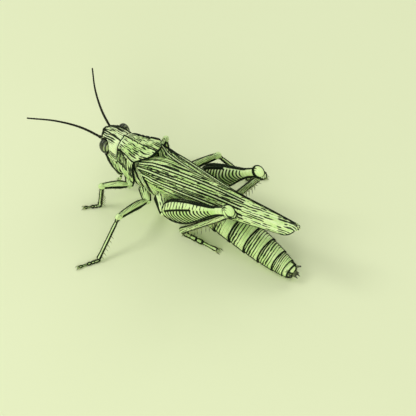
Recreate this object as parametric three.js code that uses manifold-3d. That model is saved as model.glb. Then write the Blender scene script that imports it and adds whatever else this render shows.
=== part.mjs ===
// A large short-horned grasshopper, standing on its six feet with its wings folded.
// Millimetres. x runs from the face to the wing tips, y to the animal's right, z up from the floor.
// The group's own origin is moved at the end to the middle of the model's base.
import * as THREE from "three";
import { mergeVertices } from "three/addons/utils/BufferGeometryUtils.js";
import Module from "manifold-3d";

const wasm = await Module();
wasm.setup();

// ---------------------------------------------------------------- driving dimensions
const LENGTH = 69; // from the face to the folded wing tips
const BELLY = 5.2; // underside of the thorax above the floor
const GAP = 0.3; // between pieces that touch

const HEAD = { rear: 7.5, top: 18.9, lean: 1 / 12, chin: 6.8 };
const EYE = { at: [3.4, 3.7, 15.5], half: [1.65, 1.5, 2.3] };
const ANTENNA = { scape: 0.72, root: 0.42, tip: 0.27, joints: 12 };
const PRONOTUM = { front: 7.8, apex: 20.6, corner: 15.2, lobe: 8.6, thick: 0.8, keel: 0.3, groove: 0.22 };
const THORAX = { rear: 27.6, lean: 0.42, seams: [13.6, 19.6], sutures: [16.6, 23.4] };
const ABDOMEN = { tip: 66.2, wide: 4.5, deep: 4.6 };
const WING = { base: 16.9, slant: 5.4, tip: LENGTH, thick: 0.5, top: 18, lap: 1, lift: 0.42, vein: 0.24 };
const HERRINGBONE = { from: 0.13, to: 0.8, ridges: 7, depth: 0.3, skew: 1.5 };

// Each leg runs from its root in the trunk to hip, knee, ankle and toe.
const LEGS = {
  fore_left: {
    root: [10.5, -3, 7.6],
    hip: [11.3, -4.8, 6],
    knee: [7.8, -11.1, 9],
    ankle: [5.6, -11.8, 1.3],
    toe: [2.4, -14.9],
  },
  fore_right: {
    root: [10.5, 3, 7.6],
    hip: [11.3, 4.8, 6],
    knee: [10.8, 11.2, 9.9],
    ankle: [9.6, 12.2, 1.3],
    toe: [5.6, 13.3],
  },
  middle_left: {
    root: [16.8, -4.2, 7.4],
    hip: [19.1, -6, 5.6],
    knee: [20, -16.8, 9.7],
    ankle: [19.3, -26, 1.3],
    toe: [16.5, -30.9],
  },
  middle_right: {
    root: [16.8, 4.2, 7.4],
    hip: [19.1, 6, 5.6],
    knee: [27.6, 14.3, 10.6],
    ankle: [32.4, 18.6, 1.3],
    toe: [36.4, 21.9],
  },
  hind_left: {
    root: [24.3, -4.9, 9],
    hip: [27.6, -7.4, 7.8],
    knee: [53, -7.2, 24.1],
    ankle: [31.5, -6, 1.6],
    toe: [42.8, -5.2],
  },
  hind_right: {
    root: [24.3, 4.9, 9],
    hip: [27.6, 7.4, 7.8],
    knee: [50.5, 7, 24.2],
    ankle: [34.6, 8.6, 1.6],
    toe: [45.6, 9],
  },
};
const WALKING = {
  coxa: 1.65,
  femur: [1, 1.32],
  knob: [1.1, 0.85, 1],
  joint: [0, 0],
  roll: 0,
  tibia: [0.52, 0.62],
  tarsus: 0.5,
  spines: { from: 0.5, to: 0.93, each: 4, long: 0.8, thick: 0.26 },
};
const JUMPING = {
  coxa: 2.1,
  femur: [1.85, 3.7],
  knob: [2.1, 1.35, 1.9],
  joint: [0.9, 1],
  roll: -0.3,
  tibia: [0.78, 0.92],
  tarsus: 0.68,
  spines: { from: 0.27, to: 0.93, each: 8, long: 1.35, thick: 0.34 },
};

const COLOURS = {
  shell: 0x9dbf5c,
  belly: 0xc3d98c,
  wing: 0x86a653,
  leg: 0xa8c866,
  eye: 0x4a4a2a,
  horn: 0x5a4630,
};
const HANDS = { left: -1, right: 1 };

// ---------------------------------------------------------------- small tools
const v3 = (x, y, z) => new THREE.Vector3(x, y, z);
const { lerp, clamp, smoothstep, degToRad } = THREE.MathUtils;
const steps = (count) => Array.from({ length: count + 1 }, (_, i) => i / count);
const bent = (value, power) => Math.sign(value) * Math.abs(value) ** power;
const curve = (...points) => new THREE.CatmullRomCurve3(points);
const point = (at) => v3(...at);

// Small variation that is the same each time.
function seeded(seed) {
  let state = seed;
  return () => {
    state = (Math.imul(state, 1664525) + 1013904223) >>> 0;
    return state / 4294967296;
  };
}

// A smooth function through [x, value] pairs that never swings past them.
function profile(pairs) {
  const slope = ([x0, y0], [x1, y1]) => (y1 - y0) / (x1 - x0);
  const tangents = pairs.map((pair, k) => {
    if (k === 0) return slope(pair, pairs[1]);
    if (k === pairs.length - 1) return slope(pairs[k - 1], pair);
    const [before, after] = [slope(pairs[k - 1], pair), slope(pair, pairs[k + 1])];
    return before * after > 0 ? (2 * before * after) / (before + after) : 0;
  });
  return (value) => {
    const x = clamp(value, pairs[0][0], pairs.at(-1)[0]);
    const k = Math.max(1, pairs.findIndex(([end]) => x <= end)) - 1;
    const [[x0, y0], [x1, y1]] = [pairs[k], pairs[k + 1]];
    const [span, t] = [x1 - x0, (x - x0) / (x1 - x0)];
    const ease = t * t * (3 - 2 * t);
    const push = t * (1 - t) * ((1 - t) * tangents[k] - t * tangents[k + 1]);
    return y0 + (y1 - y0) * ease + push * span;
  };
}

// A geometry as a manifold-3d solid, turned the right way out.
function solid(geometry) {
  const bare = geometry.clone();
  bare.deleteAttribute("normal");
  bare.deleteAttribute("uv");
  const merged = mergeVertices(bare, 1e-4);
  const triVerts = new Uint32Array(merged.index.array);
  const vertProperties = merged.attributes.position.array;
  const made = new wasm.Manifold(new wasm.Mesh({ numProp: 3, vertProperties, triVerts }));
  if (made.volume() > 0) return made;
  triVerts.reverse();
  return new wasm.Manifold(new wasm.Mesh({ numProp: 3, vertProperties, triVerts }));
}

// The largest closed body of a solid, so that a cut leaves no scraps.
function largest(made) {
  const bodies = made.decompose();
  return bodies.reduce((best, body) => (body.volume() > best.volume() ? body : best));
}

const fuse = (first, ...others) => others.reduce((whole, piece) => whole.add(piece), first);
const carve = (piece, ...cutters) => largest(cutters.reduce((left, cut) => left.subtract(cut), piece));

// Keeps what lies further along a direction than a plane at that distance from the origin.
function keepAhead(made, normal, distance) {
  return made.trimByPlane(normal.clone().normalize().toArray(), distance);
}

// A closed skin over rings with equal numbers of points, with flat ends.
function loft(rings) {
  const sides = rings[0].length;
  const middle = (ring) => ring.reduce((sum, p) => sum.add(p), v3(0, 0, 0)).divideScalar(sides);
  const points = [...rings.flat(), middle(rings[0]), middle(rings.at(-1))];
  const first = points.length - 2;
  const last = points.length - 1;
  const faces = [];
  for (let k = 0; k < sides; k += 1) {
    const next = (k + 1) % sides;
    faces.push(first, k, next);
    faces.push(last, (rings.length - 1) * sides + next, (rings.length - 1) * sides + k);
    for (let r = 0; r + 1 < rings.length; r += 1) {
      const [a, b] = [r * sides + k, r * sides + next];
      faces.push(a, a + sides, b, b, a + sides, b + sides);
    }
  }
  const geometry = new THREE.BufferGeometry().setFromPoints(points);
  geometry.setIndex(faces);
  return solid(geometry);
}

// An oval ring about a centre, from its half axes.
function oval(centre, side, up, sides, power = 1) {
  return Array.from({ length: sides }, (_, k) => {
    const angle = (2 * Math.PI * k) / sides;
    const across = bent(Math.cos(angle), power);
    return centre.clone().addScaledVector(side, across).addScaledVector(up, bent(Math.sin(angle), power));
  });
}

// A limb along a curve, with rounded ends. size(t) is its half width along `flat` and its half depth.
// relief(t, angle) gives how far a point of the skin is moved [outwards, along the limb].
function limb({ path, flat, size, rings = 6, sides = 10, grow = 0, relief = () => [0, 0] }) {
  const stations = Array.isArray(rings) ? rings : steps(rings);
  const ringAt = (t, shift, share) => {
    const ahead = path.getTangentAt(t);
    const across = flat.clone().addScaledVector(ahead, -flat.dot(ahead)).normalize();
    const deep = ahead.clone().cross(across);
    const [width, depth] = size(t);
    const centre = path.getPointAt(t).addScaledVector(ahead, shift);
    return Array.from({ length: sides }, (_, k) => {
      const angle = (2 * Math.PI * k) / sides;
      const [out, along] = share < 1 ? [0, 0] : relief(t, angle);
      const [side, up] = [Math.cos(angle), Math.sin(angle)];
      return centre
        .clone()
        .addScaledVector(across, side * ((width + grow) * share + out))
        .addScaledVector(deep, up * ((depth + grow) * share + out))
        .addScaledVector(ahead, along);
    });
  };
  const blunt = (t) => 0.4 * Math.min(...size(t)) + grow;
  return loft([
    ringAt(0, -blunt(0), 0.6),
    ...stations.map((t) => ringAt(t, 0, 1)),
    ringAt(1, blunt(1), 0.6),
  ]);
}

// A tapering spine or claw through points, the first of which lies inside the part it grows from.
function spike(points, radius, sides = 3) {
  const rings = points.map((at, k) => {
    const before = points[Math.max(k - 1, 0)];
    const after = points[Math.min(k + 1, points.length - 1)];
    const ahead = after.clone().sub(before).normalize();
    const side = (Math.abs(ahead.x) < 0.8 ? v3(1, 0, 0) : v3(0, 1, 0)).cross(ahead).normalize();
    const size = radius * lerp(1, 0.16, k / (points.length - 1));
    const up = ahead.cross(side).multiplyScalar(size);
    return oval(at, side.multiplyScalar(size), up, sides);
  });
  return loft(rings);
}

// An oval solid. `axes` are three unit vectors that turn it.
function ellipsoid(centre, half, { grow = 0, across = 12, down = 8, axes = null } = {}) {
  const ball = new THREE.SphereGeometry(1, across, down);
  ball.scale(half[0] + grow, half[1] + grow, half[2] + grow);
  if (axes) ball.applyMatrix4(new THREE.Matrix4().makeBasis(...axes));
  ball.translate(...centre);
  return solid(ball);
}

// A bent plate. face(s, t) is its middle face and `raise` lifts its outer face. Both faces share one split.
// Each column is a number or a function of s.
function plate({ face, rows, columns, thick, raise = () => 0 }) {
  const step = 1e-3;
  const normalAt = (s, t) => {
    const along = face(s + step, t).sub(face(s - step, t));
    const across = face(s, t + step).sub(face(s, t - step));
    return along.cross(across).normalize();
  };
  const outward = Math.sign(face(0.5, 0.5).y);
  const layer = (side) =>
    rows.flatMap((s) =>
      columns.map((column, c) => {
        const t = typeof column === "function" ? column(s) : column;
        const lift = thick / 2 + (side > 0 ? raise(s, t, c) : 0);
        return face(s, t).addScaledVector(normalAt(s, t), side * outward * lift);
      }),
    );
  const points = [...layer(1), ...layer(-1)];
  const width = columns.length;
  const under = rows.length * width;
  const faces = [];
  const quad = (a, b, c, d) => faces.push(a, b, c, a, c, d);
  for (let r = 0; r + 1 < rows.length; r += 1) {
    for (let c = 0; c + 1 < width; c += 1) {
      const a = r * width + c;
      quad(a, a + 1, a + width + 1, a + width);
      quad(under + a, under + a + width, under + a + width + 1, under + a + 1);
    }
    const [left, right] = [r * width, r * width + width - 1];
    quad(left, left + width, under + left + width, under + left);
    quad(right + width, right, under + right, under + right + width);
  }
  for (let c = 0; c + 1 < width; c += 1) {
    const far = (rows.length - 1) * width + c;
    quad(c + 1, c, under + c, under + c + 1);
    quad(far, far + 1, under + far + 1, under + far);
  }
  const geometry = new THREE.BufferGeometry().setFromPoints(points);
  geometry.setIndex(faces);
  return solid(geometry);
}

// ---------------------------------------------------------------- head
const headRear = v3(-1, 0, -HEAD.lean);
const headRearAt = headRear.clone().normalize().dot(v3(HEAD.rear, 0, HEAD.top));
const headFront = profile([
  [6, 3.9],
  [7.5, 3.1],
  [9, 2.4],
  [12, 1.35],
  [15, 0.55],
  [16.8, 0.1],
  [17.8, 0.3],
  [18.4, 1.5],
  [18.9, 3.6],
]);
const headSide = profile([
  [6, 3.5],
  [7.5, 4.1],
  [9.5, 4.5],
  [11.5, 4.6],
  [13.5, 4.35],
  [15.5, 4],
  [17, 3.5],
  [17.8, 2.9],
  [18.4, 2.2],
  [18.9, 1.2],
]);
const HEAD_LEVELS = [HEAD.chin, 8, 9.4, 10.8, 12.2, 13.8, 15.4, 16.8, 17.7, 18.35, 18.8];
const HEAD_BACK = 10;
const BROW = 16.9; // the frontal ridge is highest here

// Angles round the head from the middle of the face. The frontal ridge stands between two of them
// and the furrow below the eye lies at another.
const FACE_ANGLES = [0, 7, 13, 28, 42, 52, 62, 82, 105, 140];
const RIDGE = { inner: 7, outer: 13, high: 0.28 };
const FURROW = { angle: 52, deep: 0.2 };

function headPoint(z, degrees) {
  const [front, side] = [headFront(z), headSide(z)];
  const around = degToRad(degrees);
  const on = Math.abs(degrees);
  const ridge = on <= RIDGE.inner ? RIDGE.high * (1 - Math.abs(z - BROW) / 14) : 0;
  const furrow = on === FURROW.angle ? FURROW.deep * (1 - smoothstep(z, 12, 14)) : 0;
  const reach = 1 + (ridge - furrow) / 4;
  const x = (front + HEAD_BACK) / 2 - (bent(Math.cos(around), 0.82) * (HEAD_BACK - front) * reach) / 2;
  return v3(x, bent(Math.sin(around), 0.82) * side * (on === FURROW.angle ? reach : 1), z);
}

function headShape(grow = 0) {
  const mirrored = FACE_ANGLES.slice(1).map((angle) => -angle);
  const around = [...FACE_ANGLES, 180, ...mirrored.reverse()];
  const rings = HEAD_LEVELS.map((z) => around.map((angle) => headPoint(z, angle)));
  const made = keepAhead(loft(rings), headRear, headRearAt - grow);
  return made.translate(0, 0, -grow);
}

const eyeShape = (hand, grow = 0) => {
  const [x, y, z] = EYE.at;
  return ellipsoid([x, hand * y, z], EYE.half, { grow, across: 12, down: 9 });
};
const faceLean = (() => {
  const up = v3(-0.5, 0, 1).normalize();
  return [up.clone().cross(v3(0, 1, 0)).negate(), v3(0, 1, 0), up];
})();
const lip = { across: 10, down: 6, axes: faceLean };
const jaw = { across: 8, down: 6 };
const clypeusShape = (grow = 0) => ellipsoid([2.95, 0, 8], [0.7, 2.4, 0.75], { grow, ...lip });
const labrumShape = (grow = 0) => ellipsoid([3.95, 0, 6], [0.75, 2.05, 1.45], { grow, ...lip });
const mandibleShape = (hand, grow = 0) => {
  return ellipsoid([5.4, hand * 2.4, 6.3], [1.4, 1.3, 1.6], { grow, ...jaw });
};
const labiumShape = (grow = 0) => ellipsoid([7.4, 0, 6.2], [0.6, 1.8, 1.3], { grow, ...jaw });

const PALP_JOINTS = [0, 0.2, 0.27, 0.5, 0.57, 0.82, 1];
function palpShape(hand, grow = 0) {
  const path = curve(
    v3(6.8, hand * 3.1, 6.6),
    v3(6.7, hand * 3.9, 5.1),
    v3(5.8, hand * 4, 3.7),
    v3(4.5, hand * 3.2, 3),
  );
  const size = (t) => {
    const half = [0.3, 0.34, 0.25, 0.34, 0.25, 0.36, 0.3][PALP_JOINTS.indexOf(t)] ?? 0.3;
    return [half, half];
  };
  return limb({ path, flat: v3(0, 1, 0.2), size, rings: PALP_JOINTS, sides: 6, grow });
}

const ANTENNA_PATHS = {
  right: [v3(1.9, 1.4, 14.9), v3(-4.9, 4.1, 17.8), v3(-10.9, 7.9, 19.8), v3(-16.9, 13, 21)],
  left: [v3(1.9, -1.4, 14.9), v3(-4.4, -4.1, 18.6), v3(-10.6, -7.3, 20.4), v3(-17.9, -11.5, 21)],
};
// The thick scape, the short pedicel, then the whip with a waist at each joint.
function antennaShape(name, grow = 0) {
  const whip = steps(ANTENNA.joints).slice(1, -1).map((t) => lerp(0.12, 1, t));
  const rings = [0, 0.078, 0.088, 0.115, 0.12, ...whip.flatMap((t) => [t - 0.008, t + 0.006]), 1];
  const size = (t) => {
    const joint = whip.some((at) => Math.abs(t - at - 0.006) < 1e-6);
    const taper = lerp(ANTENNA.root, ANTENNA.tip, smoothstep(t, 0.12, 1));
    const shaft = taper * (joint ? 0.86 : 1);
    const half = t < 0.08 ? ANTENNA.scape : t < 0.118 ? ANTENNA.root * 1.3 : shaft;
    return [half, half];
  };
  return limb({ path: curve(...ANTENNA_PATHS[name]), flat: v3(0, 0, 1), size, rings, sides: 6, grow });
}

// ---------------------------------------------------------------- trunk
const trunkTop = profile([[7, 17.8], [10, 18], [13, 18], [15, 17.3], [18, 16.8], [23, 16.5], [29, 15.6]]);
const trunkBelly = profile([[7, 7.8], [9, 6.8], [12, 5.9], [16, BELLY], [24, BELLY], [29, 5.7]]);
const trunkSide = profile([[7, 3.7], [10, 4.2], [14, 4.75], [18, 4.9], [23, 5], [29, 4.7]]);

function trunkShape(grow = 0) {
  const rings = [7, 9, 11, 13, 15, 17.5, 20, 23, 26, 29].map((x) => {
    const [top, belly, side] = [trunkTop(x) + grow, trunkBelly(x) - grow, trunkSide(x) + grow];
    const middle = lerp(belly, top, 0.45);
    return Array.from({ length: 18 }, (_, k) => {
      const angle = (Math.PI * k) / 9;
      const up = bent(Math.sin(angle), 0.8) * (Math.sin(angle) > 0 ? top - middle : middle - belly);
      return v3(x, bent(Math.cos(angle), 0.8) * side, middle + up);
    });
  });
  return loft(rings);
}

// Planes across the trunk lean back towards the belly. x is where they pass at mid height.
const seamNormal = v3(1, 0, THORAX.lean);
const seamAt = (x) => seamNormal.clone().normalize().dot(v3(x, 0, 11));
function trunkSlice(from, to) {
  const ahead = keepAhead(trunkShape(), seamNormal, seamAt(from));
  return keepAhead(ahead, seamNormal.clone().negate(), -seamAt(to));
}

// A slanting groove down both flanks.
function suture(x) {
  return Object.values(HANDS).map((hand) => {
    const section = (z, wide) => {
      const along = x - (z - 11) * (THORAX.lean + 0.12);
      const inner = trunkSide(along) - 0.32;
      return [
        v3(along - wide, hand * (inner + 2), z),
        v3(along, hand * inner, z),
        v3(along + wide, hand * (inner + 2), z),
      ];
    };
    return loft([section(7.2, 0.9), section(16.5, 0.9)]);
  });
}

// ---------------------------------------------------------------- pronotum
// The saddle's section at each x: the ridge, the shoulder and the lobe that hangs down each side.
const ridgeHigh = profile([[7, 19.1], [10, 19.2], [14, 19.3], [17, 19.7], [21, 20.3]]);
const shoulderHigh = profile([[7, 17.5], [12, 18], [16.5, 18.4], [21, 19]]);
const shoulderWide = profile([[7, 3], [12, 4.1], [16.5, 5.3], [21, 5.5]]);
const lobeWide = profile([[7, 4.8], [11, 5.25], [15, 5.85], [21, 6]]);
const lobeLow = profile([[7, 9.5], [10, 9.2], [14, PRONOTUM.lobe], [16, 9], [21, 9.6]]);

function saddlePoint(x, share) {
  const [high, wide] = [shoulderHigh(x), shoulderWide(x)];
  const [outer, low] = [lobeWide(x), lobeLow(x)];
  const section = curve(
    v3(x, 0, ridgeHigh(x)),
    v3(x, wide * 0.55, lerp(ridgeHigh(x), high, 0.28)),
    v3(x, wide, high),
    v3(x, lerp(wide, outer, 0.75), high - 2.4),
    v3(x, outer, lerp(high, low, 0.6)),
    v3(x, outer - 0.25, low),
  );
  return section.getPoint(clamp(share, 0, 1));
}

const SHOULDER = 0.4; // share of the way from the ridge to the hem
const saddleRear = profile([
  [0, PRONOTUM.apex],
  [0.14, 20.2],
  [0.3, 18.1],
  [SHOULDER, 16.7],
  [0.62, 15.6],
  [0.85, PRONOTUM.corner],
  [1, 13.8],
]);
const saddleFront = profile([[0, PRONOTUM.front], [0.3, 8], [0.6, 8.3], [0.85, 9], [1, 10.2]]);

function saddleFace(s, t) {
  const around = Math.abs(t);
  const at = saddlePoint(lerp(saddleFront(around), saddleRear(around), s), around);
  const inside = 1 - PRONOTUM.thick / 2 / 5.5;
  return v3(at.x, at.y * Math.sign(t) * inside, at.z - PRONOTUM.thick / 2);
}

const SULCI = [0.29, 0.44, 0.62]; // the three cross grooves, as shares of the saddle's length
const KEEL = 0.035; // half width of the keel along the saddle's arch

function pronotumShape() {
  const side = [KEEL, 0.13, 0.26, SHOULDER, 0.48, 0.6, 0.73, 0.87, 1];
  const columns = [...side.map((t) => -t).reverse(), 0, ...side];
  const rows = [0, 0.13, ...SULCI.flatMap((s) => [s - 0.03, s, s + 0.03]), 0.8, 1];
  const raise = (s, t) => {
    const keel = t === 0 ? PRONOTUM.keel : 0;
    const groove = SULCI.includes(s) && Math.abs(t) < 0.8 ? PRONOTUM.groove + keel * 0.8 : 0;
    return keel - groove;
  };
  return plate({ face: saddleFace, rows, columns, thick: PRONOTUM.thick, raise });
}

// ---------------------------------------------------------------- wings
// The folded forewing's flat top, its shoulder and its lower edge along x.
const wingTop = profile([[16, 17.6], [22, WING.top], [31, 18.5], [45, 19.4], [60, 20.4], [70, 21]]);
const wingShoulder = profile([[16, 6.1], [22, 6.6], [31, 5], [38, 3.6], [45, 2.7], [60, 1.9], [70, 1.3]]);
const wingSide = profile([[16, 5.1], [22, 5.5], [31, 5.2], [45, 3.9], [60, 2.6], [70, 1.7]]);
const wingHem = profile([[16, 12], [22, 12.1], [31, 12.7], [45, 14.3], [60, 17.4], [70, 19.4]]);
const wingInner = profile([
  [16, 2.6],
  [19, 1.3],
  [21.5, -0.4],
  [25, -WING.lap],
  [45, -WING.lap],
  [60, -0.75],
  [70, -0.9],
]);
const TIP_ROUND = 0.91; // share of the length where the tip starts to round off
const TIP_AT = 0.2; // where the point of the tip lies across the wing

function wingFace(hand, lift) {
  return (s, t) => {
    const root = WING.base + WING.slant * smoothstep(t, 0.4, 1.05);
    const x = lerp(root, WING.tip, s);
    const past = clamp((s - TIP_ROUND) / (1 - TIP_ROUND), 0, 1);
    const across = lerp(TIP_AT, t, Math.sqrt(1 - 0.96 * past ** 2.2));
    const crown = lerp(0.2, 0.7, smoothstep(x, 20, 34));
    const rise = lift * smoothstep(x, 16.5, 20.5) * (1 - smoothstep(across, 0.45, 0.85));
    const at = new THREE.QuadraticBezierCurve(
      new THREE.Vector2(wingInner(x), wingTop(x) + rise + 0.1),
      new THREE.Vector2(wingShoulder(x), wingTop(x) + rise + crown),
      new THREE.Vector2(wingSide(x), wingHem(x)),
    ).getPoint(across);
    return v3(x, hand * at.x, at.y);
  };
}

// Each long vein's place across the wing at its root, a third of the way along, and near the tip.
const VEINS = [
  [0.15, 0.08, 0.08],
  [0.28, 0.23, 0.21],
  [0.39, 0.37, 0.36],
  [0.48, 0.49, 0.52],
  [0.57, 0.61, 0.68],
  [0.66, 0.74, 0.82],
  [0.78, 0.89, 0.93],
];
const VEIN_HALF = 0.022; // half a vein's width, as a share of the way across

function wingShape(hand, lift) {
  const rows = [...steps(8).map((s) => s * 0.88), 0.92, 0.955, 0.982, 1];
  const veins = VEINS.map(([root, third, end]) => profile([[0, root], [0.33, third], [1, end]]));
  const edges = [-VEIN_HALF, 0, VEIN_HALF];
  const columns = [0, ...veins.flatMap((vein) => edges.map((shift) => (s) => vein(s) + shift)), 1];
  const raise = (s, t, c) => (c % 3 === 2 ? WING.vein * lerp(1, 0.6, s) : 0);
  return plate({ face: wingFace(hand, lift), rows, columns, thick: WING.thick, raise });
}

// The hindwing lies folded like a fan under the forewing.
const fanSide = profile([[23, 3.7], [31, 3.1], [38, 2.2], [45, 1.7], [60, 1.2], [66, 1]]);
function hindWingShape(hand) {
  const face = (s, t) => {
    const x = lerp(23, 66, s);
    const side = fanSide(x) * Math.sqrt(1 - (0.97 * clamp((s - 0.85) / 0.15, 0, 1)) ** 2);
    return v3(x, hand * lerp(0.3, side, t), wingTop(x) - 1.25 - 1.1 * t ** 2);
  };
  const raise = (s, t, c) => (c % 2 ? 0.12 : 0);
  const rows = [...steps(4).map((s) => s * 0.86), 0.93, 1];
  return plate({ face, rows, columns: steps(4), thick: WING.thick, raise });
}

// ---------------------------------------------------------------- abdomen
const abdomenLine = curve(
  v3(THORAX.rear + GAP, 0, 10.4),
  v3(36, 0, 9.9),
  v3(46, -0.1, 7.7),
  v3(56, -0.35, 4.9),
  v3(ABDOMEN.tip, -0.7, 2.4),
);
const abdomenSize = profile([
  [0, 1],
  [0.15, 1.02],
  [0.4, 0.98],
  [0.6, 0.9],
  [0.8, 0.73],
  [0.93, 0.53],
  [1, 0.41],
]);
const SEGMENT_ENDS = [0, 0.12, 0.25, 0.38, 0.51, 0.635, 0.75, 0.86, 0.935];
const FOLD = { low: -45, deep: 0.94 }; // the fold along each flank between the back and belly plates

function abdomenRing(t, shift, swell) {
  const ahead = abdomenLine.getTangentAt(t);
  const up = v3(0, 1, 0).cross(ahead).negate();
  const size = abdomenSize(t) * swell;
  const centre = abdomenLine.getPointAt(t).addScaledVector(ahead, shift);
  return Array.from({ length: 16 }, (_, k) => {
    const degrees = k * 22.5;
    const folded = degrees === 360 + FOLD.low || degrees === 180 - FOLD.low ? FOLD.deep : 1;
    const across = bent(Math.cos(degToRad(degrees)), 0.9) * ABDOMEN.wide * size * folded;
    const high = bent(Math.sin(degToRad(degrees)), 0.9) * ABDOMEN.deep * size * folded;
    return centre.clone().addScaledVector(up, high).add(v3(0, across, 0));
  });
}

// A ring of the abdomen, waisted in front and lipped behind where it laps the next one.
function segmentShape(from, to) {
  return loft([
    abdomenRing(from, from ? GAP / 2 : 0, 0.94),
    abdomenRing(lerp(from, to, 0.3), 0, 0.995),
    abdomenRing(lerp(from, to, 0.78), 0, 1.005),
    abdomenRing(lerp(from, to, 0.88), 0, 1.035),
    abdomenRing(to, -GAP / 2, 1.02),
  ]);
}

function abdomenTipShape(grow = 0) {
  const from = SEGMENT_ENDS.at(-1);
  return loft([
    abdomenRing(from, GAP / 2, 0.95 + grow),
    abdomenRing(0.96, 0, 0.99 + grow),
    abdomenRing(0.98, 0, 0.84 + grow),
    abdomenRing(0.99, 0.1, 0.6 + grow),
  ]);
}

function cercusShape(hand) {
  const root = abdomenLine.getPointAt(0.965);
  const path = curve(root.clone().add(v3(-0.2, hand * 1, 0.6)), root.clone().add(v3(1.5, hand * 2.1, 0.9)));
  const size = (t) => [lerp(0.42, 0.26, t), lerp(0.42, 0.26, t)];
  return limb({ path, flat: v3(0, 0, 1), size, rings: 2, sides: 6 });
}

// Two pairs of short hooked valves, the upper pair curved up and the lower pair down.
function ovipositorShape() {
  const root = abdomenLine.getPointAt(0.975);
  const block = ellipsoid(root.toArray(), [1.3, 0.85, 0.95], { across: 8, down: 6 });
  const valves = Object.values(HANDS).flatMap((hand) =>
    Object.values(HANDS).map((up) => {
      const at = (x, y, z) => root.clone().add(v3(x, hand * y, up * z - 0.1));
      return spike([at(0.3, 0.4, 0.25), at(1.5, 0.45, 0.38), at(2.1, 0.4, 0.72)], 0.45, 4);
    }),
  );
  return fuse(block, ...valves);
}

// ---------------------------------------------------------------- legs
const walkingFemur = profile([[0, 0.62], [0.1, 0.7], [0.35, 1], [0.7, 0.88], [1, 0.7]]);
const jumpingFemur = profile([
  [0, 0.42],
  [0.08, 0.75],
  [0.25, 1],
  [0.45, 0.84],
  [0.65, 0.52],
  [0.82, 0.33],
  [1, 0.36],
]);
const tarsusWidth = profile([
  [0, 0.8],
  [0.07, 1],
  [0.24, 0.9],
  [0.32, 1.1],
  [0.41, 0.7],
  [0.46, 1.05],
  [0.56, 1.05],
  [0.61, 0.68],
  [0.8, 0.72],
  [0.94, 1],
  [1, 0.9],
]);
const TARSUS_RINGS = [0, 0.07, 0.32, 0.41, 0.46, 0.56, 0.61, 0.94];

// The fishbone ridges on the flat faces of the jumping femur. `along` bends each ridge to a chevron.
function herringbone(t, angle) {
  const { from, to, ridges, depth, skew } = HERRINGBONE;
  const face = Math.cos(angle) ** 2;
  const window = smoothstep(t, from - 0.08, from + 0.1) * (1 - smoothstep(t, to - 0.1, to + 0.08));
  const valley = Math.abs(((t - from) / (to - from)) * ridges * 2) % 2 > 0.5;
  const edge = Math.abs(Math.abs(Math.sin(angle)) - 0.866) < 0.02 ? 0.12 : 0;
  return [(edge - (valley ? depth * face : 0)) * window, skew * face * window];
}
const herringboneRings = () => {
  const { from, to, ridges } = HERRINGBONE;
  return [0, 0.05, ...steps(ridges * 2).map((t) => lerp(from, to, t)), 0.86, 0.93, 1];
};

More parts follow.
